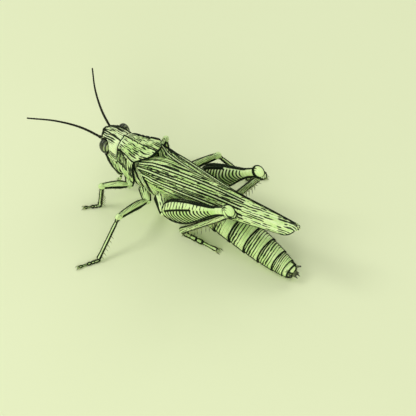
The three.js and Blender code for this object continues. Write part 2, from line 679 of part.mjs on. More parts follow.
function legShapes(name, seed) {
  const leg = LEGS[name];
  const jumping = name.startsWith("hind");
  const build = jumping ? JUMPING : WALKING;
  const [root, hip, knee, ankle] = [leg.root, leg.hip, leg.knee, leg.ankle].map(point);
  const toe = v3(...leg.toe, 0);
  const thigh = knee.clone().sub(hip).normalize();
  const shin = ankle.clone().sub(knee).normalize();
  const flat = thigh.clone().cross(shin).normalize();
  const bend = shin.clone().addScaledVector(thigh, -shin.dot(thigh)).normalize();
  const [beyond, below] = build.joint;
  const joint = knee.clone().addScaledVector(thigh, beyond).addScaledVector(bend, below);
  const random = seeded(seed);

  const coxa = () => {
    const size = (t) => [build.coxa * lerp(1, 0.72, t), build.coxa * lerp(1, 0.72, t)];
    return limb({ path: curve(root, hip), flat: v3(1, 0, 0), size, rings: 1, sides: 8 });
  };

  const femur = (grow = 0) => {
    const [wide, deep] = build.femur;
    const share = jumping ? jumpingFemur : walkingFemur;
    const size = (t) => [wide * (jumping ? lerp(share(t), 1, 0.25) : share(t)), deep * share(t)];
    const middle = hip.clone().lerp(knee, 0.5).add(v3(0, 0, jumping ? 0.2 : 0.35));
    const path = curve(hip, middle, knee);
    const across = flat.clone().applyAxisAngle(thigh, build.roll);
    const shaft = jumping
      ? limb({ path, flat: across, size, rings: herringboneRings(), sides: 12, grow, relief: herringbone })
      : limb({ path, flat: across, size, rings: 5, sides: 8, grow });
    const axes = [thigh, across, thigh.clone().cross(across)];
    const fineness = jumping ? { across: 12, down: 6 } : { across: 8, down: 5 };
    return grow ? shaft : fuse(shaft, ellipsoid(knee.toArray(), build.knob, { axes, ...fineness }));
  };

  const tibiaPath = curve(joint, joint.clone().lerp(ankle, 0.5), ankle);
  const tibia = (grow = 0) => {
    const [wide, deep] = build.tibia;
    const size = (t) => {
      const share = 1 + 0.4 * (1 - smoothstep(t, 0, 0.14)) + 0.2 * smoothstep(t, 0.85, 1);
      return [wide * share, deep * share];
    };
    const rings = [0, 0.07, 0.16, 0.5, 0.86, 1];
    return limb({ path: tibiaPath, flat, size, rings, sides: jumping ? 8 : 6, grow });
  };

  // Two rows of spines, and spurs about the ankle of a jumping leg. `behind` is the side they stand on.
  const spines = () => {
    const { from, to, each, long, thick } = build.spines;
    const outer = thigh.clone().addScaledVector(shin, -thigh.dot(shin)).normalize();
    const behind = jumping ? outer : outer.clone().negate();
    const half = build.tibia[1];
    const make = (t, side, reach, lean) => {
      const out = behind.clone().multiplyScalar(0.78).addScaledVector(flat, side * 0.62);
      const root = tibiaPath.getPointAt(t).addScaledVector(out, half * 0.35);
      const tip = root.clone().addScaledVector(out, reach).addScaledVector(shin, reach * lean);
      return spike([root, tip], thick);
    };
    const rows = [-1, 1].flatMap((side) =>
      steps(each - 1).map((share) => {
        const t = lerp(from, to, share) + (random() - 0.5) * 0.012 + side * 0.008;
        return make(t, side, (half + long) * lerp(0.9, 1.08, random()), lerp(0.4, 0.6, random()));
      }),
    );
    const spurs = [-1, 1].flatMap((side) => [make(0.965, side, 1.3, 1.1), make(0.985, side * 1.6, 1, 1.3)]);
    return jumping ? [...rows, ...spurs] : rows;
  };

  const tarsus = () => {
    const half = build.tarsus;
    const high = half * 0.76;
    const ahead = v3(toe.x - ankle.x, toe.y - ankle.y, 0).normalize();
    const side = v3(-ahead.y, ahead.x, 0);
    const at = (along, across, up) =>
      v3(toe.x, toe.y, up).addScaledVector(ahead, along).addScaledVector(side, across);
    const heel = v3(ankle.x, ankle.y, high);
    const path = curve(heel, heel.clone().lerp(at(0, 0, high), 0.5), at(0, 0, high));
    const size = (t) => [half * tarsusWidth(t), half * tarsusWidth(t)];
    const foot = limb({ path, flat: side, size, rings: TARSUS_RINGS, sides: 6 });
    const claws = [-1, 1].map((turn) => {
      const out = turn * half;
      const bend = at(half * 1.3, out * 1.2, high * 1.15);
      return spike([at(-0.2, out * 0.5, high), bend, at(half * 2.3, out, 0.12)], half * 0.42);
    });
    const padAt = at(half * 0.75, 0, high * 0.8).toArray();
    const pad = ellipsoid(padAt, [half * 0.7, half * 0.7, high * 0.9], { across: 6, down: 4 });
    return keepAhead(fuse(foot, ...claws, pad), v3(0, 0, 1), 0);
  };
  return { coxa, femur, tibia, spines, tarsus };
}

// ---------------------------------------------------------------- the model
const group = new THREE.Group();

function add(name, made, colour, roughness = 0.55) {
  const mesh = made.getMesh();
  const geometry = new THREE.BufferGeometry();
  geometry.setAttribute("position", new THREE.BufferAttribute(mesh.vertProperties, 3));
  geometry.setIndex(new THREE.BufferAttribute(mesh.triVerts, 1));
  geometry.computeVertexNormals();
  const material = new THREE.MeshStandardMaterial({ color: colour, roughness, metalness: 0 });
  const node = new THREE.Mesh(geometry, material);
  node.name = name;
  group.add(node);
}

const sockets = Object.entries(HANDS).flatMap(([name, hand]) => {
  return [eyeShape(hand, GAP), antennaShape(name, GAP)];
});
add("head", carve(headShape(), ...sockets, clypeusShape(GAP)), COLOURS.shell);
add("clypeus", clypeusShape(), COLOURS.shell);
const aboutHead = fuse(headShape(GAP), headShape(GAP).translate(-GAP, 0, 0));
add("labrum", carve(labrumShape(), aboutHead, clypeusShape(GAP)), COLOURS.belly);
for (const [name, hand] of Object.entries(HANDS)) {
  add(`eye_${name}`, eyeShape(hand), COLOURS.eye, 0.2);
  add(`antenna_${name}`, antennaShape(name), COLOURS.horn);
  const mandible = keepAhead(mandibleShape(hand), v3(0, hand, 0), GAP / 2);
  add(`mandible_${name}`, carve(mandible, aboutHead, labrumShape(GAP)), COLOURS.horn);
  add(`palp_${name}`, carve(palpShape(hand), aboutHead, mandibleShape(hand, GAP)), COLOURS.belly);
}
const jaws = Object.values(HANDS).map((hand) => mandibleShape(hand, GAP));
add("labium", carve(labiumShape(), aboutHead, ...jaws), COLOURS.belly);

add("pronotum", pronotumShape(), COLOURS.shell);
const peg = spike([v3(10.8, 0, 8), v3(10.6, 0, 5.6), v3(10.2, 0, 4.5)], 0.6, 6);
const chest = trunkSlice(0, THORAX.seams[0] - GAP / 2);
const prothorax = keepAhead(chest, headRear.clone().negate(), GAP - headRearAt);
add("prothorax", fuse(prothorax, peg), COLOURS.belly);
const mesothorax = trunkSlice(THORAX.seams[0] + GAP / 2, THORAX.seams[1] - GAP / 2);
add("mesothorax", carve(mesothorax, ...suture(THORAX.sutures[0])), COLOURS.belly);
const metathorax = keepAhead(trunkSlice(THORAX.seams[1] + GAP / 2, 60), v3(-1, 0, 0), -THORAX.rear);
add("metathorax", carve(metathorax, ...suture(THORAX.sutures[1])), COLOURS.belly);

for (const [name, hand] of Object.entries(HANDS)) {
  add(`forewing_${name}`, wingShape(hand, -hand * WING.lift), COLOURS.wing);
  add(`hindwing_${name}`, hindWingShape(hand), COLOURS.wing);
}

SEGMENT_ENDS.slice(1).forEach((end, k) => {
  add(`abdomen_${k + 1}`, segmentShape(SEGMENT_ENDS[k], end), COLOURS.belly);
});
const aboutTip = abdomenTipShape(0.17);
const ovipositor = carve(ovipositorShape(), aboutTip);
add("abdomen_tip", abdomenTipShape(), COLOURS.belly);
add("ovipositor", ovipositor, COLOURS.horn);
for (const [name, hand] of Object.entries(HANDS)) {
  add(`cercus_${name}`, carve(cercusShape(hand), aboutTip), COLOURS.horn);
}

Object.keys(LEGS).forEach((name, k) => {
  const { coxa, femur, tibia, spines, tarsus } = legShapes(name, 11 + 7 * k);
  add(`coxa_${name}`, carve(coxa(), trunkShape(GAP), femur(GAP)), COLOURS.leg);
  add(`femur_${name}`, carve(femur(), tibia(GAP)), COLOURS.leg);
  add(`tibia_${name}`, fuse(tibia(), ...spines()), COLOURS.leg);
  add(`tarsus_${name}`, carve(tarsus(), tibia(GAP)), COLOURS.leg);
});

// The origin goes to the middle of the base.
const box = new THREE.Box3().setFromObject(group);
const middle = box.getCenter(v3(0, 0, 0));
group.position.set(-middle.x, -middle.y, -box.min.z);

export default group;
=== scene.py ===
import math
from functools import partialmethod

import bpy
import numpy as np
from mathutils import Matrix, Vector
from mathutils.kdtree import KDTree


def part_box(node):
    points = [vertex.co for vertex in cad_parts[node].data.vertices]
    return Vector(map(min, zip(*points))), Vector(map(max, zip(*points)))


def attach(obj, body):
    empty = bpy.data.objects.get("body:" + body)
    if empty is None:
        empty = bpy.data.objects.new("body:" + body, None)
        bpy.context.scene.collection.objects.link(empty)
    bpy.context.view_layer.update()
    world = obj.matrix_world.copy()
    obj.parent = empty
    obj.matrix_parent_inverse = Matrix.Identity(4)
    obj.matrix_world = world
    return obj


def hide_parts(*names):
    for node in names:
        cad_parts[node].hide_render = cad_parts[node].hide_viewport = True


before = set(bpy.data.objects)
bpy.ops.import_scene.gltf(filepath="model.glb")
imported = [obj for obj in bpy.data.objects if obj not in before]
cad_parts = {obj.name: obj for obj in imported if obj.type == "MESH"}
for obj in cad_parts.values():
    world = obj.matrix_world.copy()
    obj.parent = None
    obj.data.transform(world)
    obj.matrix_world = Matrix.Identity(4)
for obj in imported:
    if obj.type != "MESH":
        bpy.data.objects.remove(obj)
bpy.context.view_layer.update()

# Points are worked out in millimetres from the face (x), the middle plane (y) and the floor (z),
# and moved into the frame at the end. The left eye's place gives the shift between the two.
MM = 0.001
EYE = {"at": (3.4, 3.7, 15.5), "half": (1.65, 1.5, 2.3)}
low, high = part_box("eye_left")
SHIFT = np.array([(low.x + high.x) / 2 / MM - EYE["at"][0], (low.y + high.y) / 2 / MM + EYE["at"][1], 0])

# Sizes and places in millimetres. degree is how long one degree is, round the middle of the part,
# and arch is the way from the saddle's keel to its hem.
HEAD = {"chin": 6.8, "middle": 12.5, "back": 10, "brow": 16.9, "degree": 0.07}
FURROW = 52  # degrees from the middle of the face
ANTENNA = {"scape": 0.62, "root": 0.34, "tip": 0.21, "joints": 24}
SCAPE_END, PEDICEL_START, PEDICEL_END, WHIP_START = 0.078, 0.084, 0.118, 0.12  # shares of a feeler
PRONOTUM = {"apex": 20.6, "corner": 15.2, "lobe": 8.6, "thick": 0.8, "half": 5.5, "arch": 12.5}
THORAX = {
    "rear": 27.6, "level": 11.0, "waist": 10.4, "lean": 0.42, "seams": (13.6, 19.6), "sutures": (16.6, 23.4),
}
ABDOMEN = {"tip": 66.2, "wide": 4.5, "deep": 4.6, "degree": 0.078}
# Where the rings of the abdomen begin and end, as shares of its length.
SEGMENT_ENDS = (0, 0.12, 0.25, 0.38, 0.51, 0.635, 0.75, 0.86, 0.935)
WING = {
    "base": 16.9, "slant": 5.4, "tip": 69, "long": 53, "thick": 0.42, "lap": 1, "lift": 0.42, "vein": 0.24,
}
# Each leg runs from its root in the trunk to hip, knee, ankle and toe.
LEGS = {
    "fore_left": ((10.5, -3, 7.6), (11.3, -4.8, 6), (7.8, -11.1, 9), (5.6, -11.8, 1.3), (2.4, -14.9)),
    "fore_right": ((10.5, 3, 7.6), (11.3, 4.8, 6), (10.8, 11.2, 9.9), (9.6, 12.2, 1.3), (5.6, 13.3)),
    "middle_left": ((16.8, -4.2, 7.4), (19.1, -6, 5.6), (20, -16.8, 9.7), (19.3, -26, 1.3), (16.5, -30.9)),
    "middle_right": ((16.8, 4.2, 7.4), (19.1, 6, 5.6), (27.6, 14.3, 10.6), (32.4, 18.6, 1.3), (36.4, 21.9)),
    "hind_left": ((24.3, -4.9, 9), (27.6, -7.4, 7.8), (53, -7.2, 24.1), (31.5, -6, 1.6), (42.8, -5.2)),
    "hind_right": ((24.3, 4.9, 9), (27.6, 7.4, 7.8), (50.5, 7, 24.2), (34.6, 8.6, 1.6), (45.6, 9)),
}
HANDS = {"left": -1, "right": 1}

# The camera: its angles in degrees, its distance from the point that it looks at, and how many
# pixels a millimetre there takes.
VIEW = {"azimuth": 51.0, "elevation": 47.0, "roll": -12.1, "distance": 368.5, "scale": 3.81}
AIM = np.array([36.8, -0.24, 8.59])
PIXELS = 416
az, el, roll = (math.radians(VIEW[k]) for k in ("azimuth", "elevation", "roll"))
AWAY = np.array([math.sin(az) * math.cos(el), -math.cos(az) * math.cos(el), math.sin(el)])
VIEWPOINT = AIM + AWAY * VIEW["distance"]

FAR = 9.0  # a distance in millimetres that leaves no dark line
STROKES = 0.56  # millimetres from one fine stroke to the next, on the saddle and the wings
CAP = 6  # rings in each rounded end of a limb


# ---------------- small tools
def ease(value, start, end):
    t = np.clip((value - start) / (end - start), 0, 1)
    return t * t * (3 - 2 * t)


def within(value, a, b, c, d):
    """1 from b to c, and less on either side, down to 0 at a and at d."""
    return ease(value, a, b) * ease(value, d, c)


def mix(a, b, t):
    return a + (b - a) * t


def hill(distance, width):
    return np.exp(-((distance / width) ** 2))


def bent(value, power):
    return np.sign(value) * np.abs(value) ** power


def least(*fields):
    return np.minimum.reduce(np.broadcast_arrays(*fields))


def unit(v):
    return v / np.maximum(np.linalg.norm(v, axis=-1, keepdims=True), 1e-12)


def profile(*pairs):
    """A smooth function through (x, value) pairs that never swings past them."""
    x, y = np.array(pairs, float).T
    slope = np.diff(y) / np.diff(x)
    inner = [2 * a * b / (a + b) if a * b > 0 else 0.0 for a, b in zip(slope, slope[1:])]
    lean = np.array([slope[0], *inner, slope[-1]])

    def at(value):
        v = np.clip(value, x[0], x[-1])
        k = np.clip(np.searchsorted(x, v) - 1, 0, len(x) - 2)
        span = x[k + 1] - x[k]
        t = (v - x[k]) / span
        push = t * (1 - t) * ((1 - t) * lean[k] - t * lean[k + 1])
        return y[k] + (y[k + 1] - y[k]) * t * t * (3 - 2 * t) + push * span

    return at


def curve(a, b, c, d, u):
    """Points from b to c on a smooth curve through all four, where u runs from 0 to 1."""
    s = [np.linalg.norm(q - p, axis=-1, keepdims=True) ** 0.5 + 1e-9 for p, q in ((a, b), (b, c), (c, d))]
    out = ((b - a) / s[0] - (c - a) / (s[0] + s[1]) + (c - b) / s[1]) * s[1]
    into = ((c - b) / s[1] - (d - b) / (s[1] + s[2]) + (d - c) / s[2]) * s[1]
    ends = (2 * u**3 - 3 * u**2 + 1) * b + (3 * u**2 - 2 * u**3) * c
    return ends + (u**3 - 2 * u**2 + u) * out + (u**3 - u**2) * into


class Line:
    """A smooth line through points, read by the share of its length."""

    def __init__(self, *points):
        p = np.array(points, float)
        p = np.vstack([2 * p[0] - p[1], p, 2 * p[-1] - p[-2]])
        u = np.linspace(0, 1, 60, endpoint=False)[:, None]
        self.points = np.vstack([*(curve(*p[k : k + 4], u) for k in range(len(p) - 3)), p[-2]])
        step = np.linalg.norm(np.diff(self.points, axis=0), axis=1)
        self.length = step.sum()
        self.share = np.append(0, np.cumsum(step)) / self.length

    def at(self, t):
        return np.stack([np.interp(t, self.share, c) for c in self.points.T], -1)

    def ahead(self, t):
        h = 2e-3
        return unit(self.at(np.clip(np.add(t, h), 0, 1)) - self.at(np.clip(np.subtract(t, h), 0, 1)))


def normals(grid, wrap=True):
    """Unit normals of a grid of points, pointing away from its middle line."""
    across = np.roll(grid, -1, 1) - np.roll(grid, 1, 1) if wrap else np.gradient(grid, axis=1)
    n = unit(np.cross(across, np.gradient(grid, axis=0)))
    return n * np.sign(np.sum(n * (grid - grid.mean(axis=1, keepdims=True))))


def plate_normals(face, way):
    """Unit normals of a bent plate, on the side that faces the given way."""
    n = normals(face, wrap=False)
    return n * np.sign(np.sum(n @ np.array(way)))


def ring_angles(sides):
    return np.linspace(0, 2 * np.pi, sides, endpoint=False)


def limb(path, flat, size, t, sides, relief=None, blunt=(0.6, 0.6)):
    """Rings of points round a line, with rounded ends, and each point's share and angle. size gives
    half the width and depth, or one number for both. t is the rings' shares, or how many there are.
    relief gives how far the surface stands out at a share and an angle."""
    if isinstance(t, int):
        t = np.linspace(0, 1, t)
    width, depth = np.broadcast_to(size(t), (2, len(t)))
    turn = np.linspace(np.pi / 2 * 0.96, 0, CAP + 1)[:-1]
    turn = np.concatenate([-turn, 0 * t, turn[::-1]])
    reach = np.where(turn < 0, blunt[0] * min(width[0], depth[0]), blunt[1] * min(width[-1], depth[-1]))
    share, shift = np.cos(turn), reach * np.sin(turn)
    t = np.pad(t, CAP, "edge")
    width, depth = np.broadcast_to(size(t), (2, len(t)))
    ahead = path.ahead(t)
    across = unit(flat - (ahead @ np.array(flat, float))[:, None] * ahead)
    deep = np.cross(ahead, across)
    centre = path.at(t) + ahead * shift[:, None]
    tt, angle = np.broadcast_arrays(t[:, None], ring_angles(sides))
    out = relief(tt, angle) * (share[:, None] > 0.999) if relief else 0
    side = np.cos(angle) * ((width * share)[:, None] + out)
    up = np.sin(angle) * ((depth * share)[:, None] + out)
    return centre[:, None] + across[:, None] * side[..., None] + deep[:, None] * up[..., None], tt, angle


def ball(centre, half, axes=np.eye(3), across=36, down=24):
    """An oval as a grid of points. axes are three unit vectors that turn it."""
    polar = np.linspace(0.06, np.pi - 0.06, down)[:, None]
    angle = ring_angles(across)[None]
    way = np.broadcast_arrays(np.sin(polar) * np.cos(angle), np.sin(polar) * np.sin(angle), np.cos(polar))
    return (np.stack(way, -1) * half) @ np.array(axes) + centre


def add(name, data):
    made = bpy.data.objects.new(name, data)
    bpy.context.scene.collection.objects.link(made)
    return made


def add_piece(name, points, faces, material):
    """A piece of the grasshopper, from points in millimetres."""
    mesh = bpy.data.meshes.new(name)
    mesh.from_pydata(((points + SHIFT) * MM).tolist(), [], faces)
    mesh.shade_smooth()
    mesh.materials.append(material)
    piece = add(name, mesh)
    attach(piece, "root")
    return piece


class Skin:
    """Joins grids of points into one mesh. Each grid is a closed tube of rings, or a bent plate.
    Marks that the materials read: line, the distance to a dark line in millimetres; ink, a dark
    patch; hatch, a count of fine strokes; shade, how dense they are; clean, how unbroken; and pale."""

    marks = {"line": FAR, "ink": 0, "hatch": 0, "shade": 0, "clean": 0, "pale": 0}

    def __init__(self):
        self.points, self.faces, self.count = [], [], 0
        self.values = {name: [] for name in self.marks}

    def grid(self, grid, strip=False, **marks):
        rows, sides = grid.shape[:2]
        n = rows * sides
        index = np.arange(n).reshape(rows, sides)
        beside = np.roll(index, -1, 1)
        quads = np.stack([index[:-1], beside[:-1], beside[1:], index[1:]], -1).reshape(-1, 4)
        points = grid.reshape(-1, 3)
        a, b, c, d = (points[quads[:, k]] for k in range(4))
        volume = np.sum(a * np.cross(b, c)) + np.sum(a * np.cross(c, d))
        if strip:
            k = np.arange(sides // 2 - 1)
            first = np.stack([k, sides - 1 - k, sides - 2 - k, k + 1], -1)
            last = first[:, ::-1] + n - sides
        else:
            first = np.stack([np.full(sides, n), beside[0], index[0]], -1)
            last = np.stack([np.full(sides, n + 1), index[-1], beside[-1]], -1)
            points = np.vstack([points, grid[0].mean(0), grid[-1].mean(0)])
        for faces in (quads, first, last):
            self.faces += ((faces[:, ::-1] if volume < 0 else faces) + self.count).tolist()
        self.points.append(points)
        for name, usual in self.marks.items():
            value = np.broadcast_to(marks.get(name, usual), (rows, sides)).astype(float)
            self.values[name].append(np.append(value, [] if strip else [value[0].mean(), value[-1].mean()]))
        self.count += len(points)
        return self

    def plate(self, face, up, thick, lift, **marks):
        """A loop of points round a bent plate: its outer face, then its inner face backwards."""

        def loop(outer, inner):
            return np.concatenate([outer, inner[:, ::-1]], axis=1)

        half = np.broadcast_to(thick / 2, face.shape[:2])
        grid = loop(face + up * (half + lift)[..., None], face - up * half[..., None])
        fields = {name: np.broadcast_to(value, half.shape) for name, value in marks.items()}
        return self.grid(grid, strip=True, **{name: loop(value, value) for name, value in fields.items()})

    def build(self, name, material, slot, *nodes):
        piece = add_piece(name, np.vstack(self.points), self.faces, material)
        for mark, parts in self.values.items():
            values = np.concatenate(parts).astype(np.float32)
            piece.data.attributes.new(mark, "FLOAT", "POINT").data.foreach_set("value", values)
        if nodes:
            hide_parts(*nodes)


def thorn(skin, points, radius, sides=8, **marks):
    """A curved spine or claw that tapers to a fine tip, dark towards the tip."""
    path = Line(*points)
    flat = (1, 0, 0) if abs(path.ahead(0.5)[0]) < 0.8 else (0, 1, 0)
    grid, tt, _ = limb(path, flat, lambda u: radius * (1 - 0.93 * u**1.3), 10, sides)
    skin.grid(grid, **{"ink": ease(tt, 0.45, 0.75), **marks})


# ---------------- materials
class Nodes:
    """Short names for building a node material."""

    def __init__(self, name):
        self.material = bpy.data.materials.new(name)
        self.material.use_nodes = True
        self.tree = self.material.node_tree
        self.shader = self.tree.nodes["Principled BSDF"]

    def put(self, kind, inputs=(), **settings):
        node = self.tree.nodes.new(kind)
        for name, value in settings.items():
            setattr(node, name, value)
        for name, value in dict(inputs).items():
            self.join(value, node.inputs[name])
        return node

    def join(self, value, socket):
        if isinstance(value, bpy.types.NodeSocket):
            self.tree.links.new(value, socket)
        else:
            socket.default_value = value

    def math(self, operation, *values):
        return self.put("ShaderNodeMath", enumerate(values), operation=operation).outputs[0]

    add = partialmethod(math, "ADD")
    less = partialmethod(math, "SUBTRACT")
    times = partialmethod(math, "MULTIPLY")

    def fit(self, value, a, b, c=0.0, d=1.0):
        inputs = {"Value": value, "From Min": a, "From Max": b, "To Min": c, "To Max": d}
        return self.put("ShaderNodeMapRange", inputs, interpolation_type="SMOOTHSTEP").outputs["Result"]

    def mark(self, name):
        return self.put("ShaderNodeAttribute", attribute_name=name).outputs["Fac"]

    def place(self):
        return self.put("ShaderNodeTexCoord").outputs["Object"]

    def noise(self, scale, detail=3.0, offset=None):
        place = self.place()
        if offset is not None:
            place = self.put("ShaderNodeVectorMath", {0: place, 1: offset}, operation="ADD").outputs[0]
        inputs = {"Vector": place, "Scale": scale, "Detail": detail, "Roughness": 0.55}
        return self.put("ShaderNodeTexNoise", inputs).outputs["Fac"]

    def cells(self, scale, feature="F1"):
        inputs = {"Vector": self.place(), "Scale": scale}
        return self.put("ShaderNodeTexVoronoi", inputs, feature=feature).outputs["Distance"]

    def blend(self, a, b, share):
        inputs = {"Factor": share, 6: a, 7: b}
        return self.put("ShaderNodeMix", inputs, data_type="RGBA").outputs[2]

    def relief(self, height, strength, distance):
        inputs = {"Height": height, "Strength": strength, "Distance": distance}
        return self.put("ShaderNodeBump", inputs).outputs["Normal"]

    def finish(self, colour, roughness, normal=None, **constants):
        self.join(colour, self.shader.inputs["Base Color"])
        self.join(roughness, self.shader.inputs["Roughness"])
        if normal is not None:
            self.join(normal, self.shader.inputs["Normal"])
        for name, value in constants.items():
            self.shader.inputs[name.replace("_", " ")].default_value = value
        return self.material


def darker(colour, share):
    return (*(c * share for c in colour[:3]), 1)


INK = (0.006, 0.012, 0.004, 1)
CREAM_GREEN = (0.75, 0.89, 0.48, 1)


def cuticle(name, light, deep, line, pits=0, gloss=0.38):
    """Green cuticle with dark lines, fine broken strokes and pale areas, from the skin's marks."""
    n = Nodes(name)
    body = n.blend(light, deep, n.fit(n.noise(260, 4), 0.36, 0.66))
    body = n.blend(body, darker(deep, 0.5), n.fit(n.noise(1900, 2), 0.5, 0.72, 0, 0.2))
    soft = n.times(n.mark("pale"), n.fit(n.noise(500, 2), 0.25, 0.6, 0.6, 1))
    body = n.blend(body, CREAM_GREEN, soft)
    near = n.add(n.mark("line"), n.times(n.less(n.noise(700, 2), 0.5), 0.12))
    drawn = n.fit(near, line * 0.7, line * 1.2, 1, 0)
    broken = n.less(1, n.mark("clean"))
    wander = n.times(n.noise(420, 2), n.add(0.2, n.times(broken, 0.8)))
    count = n.add(n.mark("hatch"), wander)
    stroke = n.math("ABSOLUTE", n.less(n.math("FRACT", count), 0.5))
    # Each stroke looks up its own noise, so that it starts and stops apart from its neighbours.
    own = n.times(n.math("FLOOR", count), 0.0043)
    gaps = n.fit(n.noise(330, 2, offset=own), 0.4, 0.56, -0.5, 0.1)
    width = n.add(0.5, n.times(gaps, broken))
    hatched = n.fit(n.less(n.times(width, n.mark("shade")), stroke), -0.05, 0.04)
    dark = n.math("MAXIMUM", n.math("MAXIMUM", drawn, n.mark("ink")), n.times(hatched, 0.97))
    height = n.add(n.times(n.noise(2600), 0.35), n.times(dark, -0.4))
    if pits:
        height = n.add(height, n.fit(n.cells(1500), 0.15, 0.45, -pits, 0))
    n.join(n.less(0.32, n.times(dark, 0.27)), n.shader.inputs["Specular IOR Level"])
    roughness = n.add(n.fit(n.noise(900), 0.3, 0.7, gloss, gloss + 0.18), n.times(dark, 0.2))
    normal = n.relief(height, 0.55, 0.00006)
    colour = n.blend(body, INK, dark)
    return n.finish(colour, roughness, normal, Subsurface_Weight=0.06, Subsurface_Scale=0.0003)


def eye_material():
    n = Nodes("eye_lens")
    band = n.math("ABSOLUTE", n.less(n.math("FRACT", n.mark("hatch")), 0.5))
    stripe = n.times(n.fit(band, 0.14, 0.3), n.fit(n.noise(500, 2), 0.3, 0.6, 0.5, 1))
    # The front is near black; the rear has paler stripes, partly the eye's own striped colour and partly a
    # painted highlight.
    front = n.blend((0.01, 0.014, 0.005, 1), (0.05, 0.065, 0.02, 1), stripe)
    rear = n.blend((0.02, 0.03, 0.01, 1), (0.42, 0.52, 0.22, 1), stripe)
    outlined = n.math("MAXIMUM", n.mark("ink"), n.fit(n.mark("line"), 0.12, 0.24, 1, 0))
    colour = n.blend(n.blend(front, rear, n.mark("pale")), INK, outlined)
    normal = n.relief(n.fit(n.cells(7500, "DISTANCE_TO_EDGE"), 0, 0.12), 0.35, 0.00003)
    return n.finish(colour, 0.16, normal, Coat_Weight=0.25, Coat_Roughness=0.06, Specular_IOR_Level=0.3)


def horn_material(name, light, dark, gloss=0.3, shine=0.5):
    """Hard parts that darken where they are inked and at their joints."""
    n = Nodes(name)
    body = n.blend(light, darker(light, 0.6), n.fit(n.noise(700), 0.35, 0.65))
    ringed = n.fit(n.mark("line"), 0.03, 0.09, 0.85, 0)
    colour = n.blend(body, dark, n.math("MAXIMUM", n.mark("ink"), ringed))
    roughness = n.fit(n.noise(1200, 2), 0.3, 0.7, gloss, gloss + 0.15)
    return n.finish(colour, roughness, n.relief(n.noise(3200), 0.4, 0.00004), Specular_IOR_Level=shine)


def plain_material(name, one, other, scale, roughness):
    n = Nodes(name)
    return n.finish(n.blend(one, other, n.noise(scale, 2)), roughness)


LEAF_GREENS = (0.65, 0.84, 0.36, 1), (0.48, 0.72, 0.22, 1)
SHELL = cuticle("shell_cuticle", *LEAF_GREENS, line=0.25, pits=0.5)
FLESH = cuticle("body_cuticle", (0.66, 0.84, 0.37, 1), (0.5, 0.73, 0.24, 1), line=0.24)
VANE = cuticle("wing_membrane", (0.64, 0.83, 0.34, 1), (0.47, 0.71, 0.21, 1), line=0.18, gloss=0.36)
SHANK = cuticle("leg_cuticle", *LEAF_GREENS, line=0.24)
LENS = eye_material()
HORN = horn_material("horn", (0.12, 0.15, 0.05, 1), (0.01, 0.012, 0.006, 1))
WHIP = horn_material("feeler", (0.018, 0.021, 0.009, 1), (0.005, 0.006, 0.003, 1), gloss=0.5, shine=0.1)
THORN = horn_material("spine", (0.36, 0.42, 0.15, 1), (0.01, 0.009, 0.005, 1))
HAIR = plain_material("fine_hair", (0.3, 0.32, 0.13, 1), (0.1, 0.1, 0.04, 1), 900, 0.5)


# ---------------- hairs
# A hair is a tapered sliver of seven points. These are its faces, each point's place in its patch
# of the bake map, and how wide and high the patch is there.
SLIVER = ((0, 1, 4, 3), (1, 2, 5, 4), (2, 0, 3, 5), (3, 4, 6), (4, 5, 6), (5, 3, 6), (2, 1, 0))
SPOTS = np.array([(0, 0), (1, 0), (0.5, 0.3), (0, 0.6), (1, 0.6), (0.5, 0.8), (0.5, 1)])
SPOT_SIZE = 0.003


class Coat:
    """Fine hairs as solid tapered slivers. Each has its patch of the bake map at its root's place
    on an unwrap of the skin it grows from, where each grid of the skin has a tile of its own."""

    tiles = 8  # along each side of the bake map

    def __init__(self, seed):
        self.random = np.random.default_rng(seed)
        self.parts = []

    def grow(self, grid, count, length, weight=1, lean=None, stand=0.6, thick=0.022):
        """Scatters hairs over a closed grid of rings. lean is the way that they lie."""
        rows, sides = grid.shape[:2]
        along = np.linalg.norm(np.diff(grid, axis=0), axis=-1)
        across = np.linalg.norm(np.roll(grid, -1, 1) - grid, axis=-1)[:-1]
        area = along * across * np.broadcast_to(weight, (rows, sides))[:-1]
        chance = (area / area.sum()).reshape(-1)
        r, c = np.divmod(self.random.choice(len(chance), size=count, p=chance), sides)
        u, v = self.random.random((2, count, 1))

        def between(field):
            return mix(*(mix(field[row, c], field[row, (c + 1) % sides], v) for row in (r, r + 1)), u)

        root, up = between(grid), unit(between(normals(grid)))
        if lean is None:
            lean = grid[-1].mean(0) - grid[0].mean(0)
        lean = unit(np.broadcast_to(np.array(lean, float), root.shape))
        way = unit(mix(lean, up, stand) + self.random.normal(0, 0.22, root.shape))
        size = length * (0.6 + 0.7 * self.random.random((count, 1)))
        side = unit(np.cross(way, up + 0.01)) * thick
        other = unit(np.cross(way, side)) * thick
        corners = [a * side + b * other for a, b in ((1, 0), (-0.5, 0.87), (-0.5, -0.87))]
        foot = [root - up * thick * 2 + corner for corner in corners]
        waist = [root + way * size * 0.55 + 0.65 * corner for corner in corners]
        points = np.stack([*foot, *waist, root + unit(way + lean * 0.35) * size], 1)
        points[..., 2] = np.maximum(points[..., 2], 0.02)
        down, over = divmod(len(self.parts) % self.tiles**2, self.tiles)
        place = np.stack([(c + v[:, 0]) / sides, (r + u[:, 0]) / rows], -1)
        self.parts.append((points, (place * 0.94 + 0.03 + [over, down]) / self.tiles))

    def build(self, name, slot):
        points, uv = (np.concatenate(parts) for parts in zip(*self.parts))
        faces = [[7 * k + i for i in face] for k in range(len(points)) for face in SLIVER]
        piece = add_piece(name, points.reshape(-1, 3), faces, HAIR)
        spots = SPOTS[[i for face in SLIVER for i in face]] * SPOT_SIZE
        layer = piece.data.uv_layers.new(name="OFBake")
        layer.data.foreach_set("uv", (uv[:, None] + spots).astype(np.float32).reshape(-1))


body_coat, leg_coat = Coat(5), Coat(6)


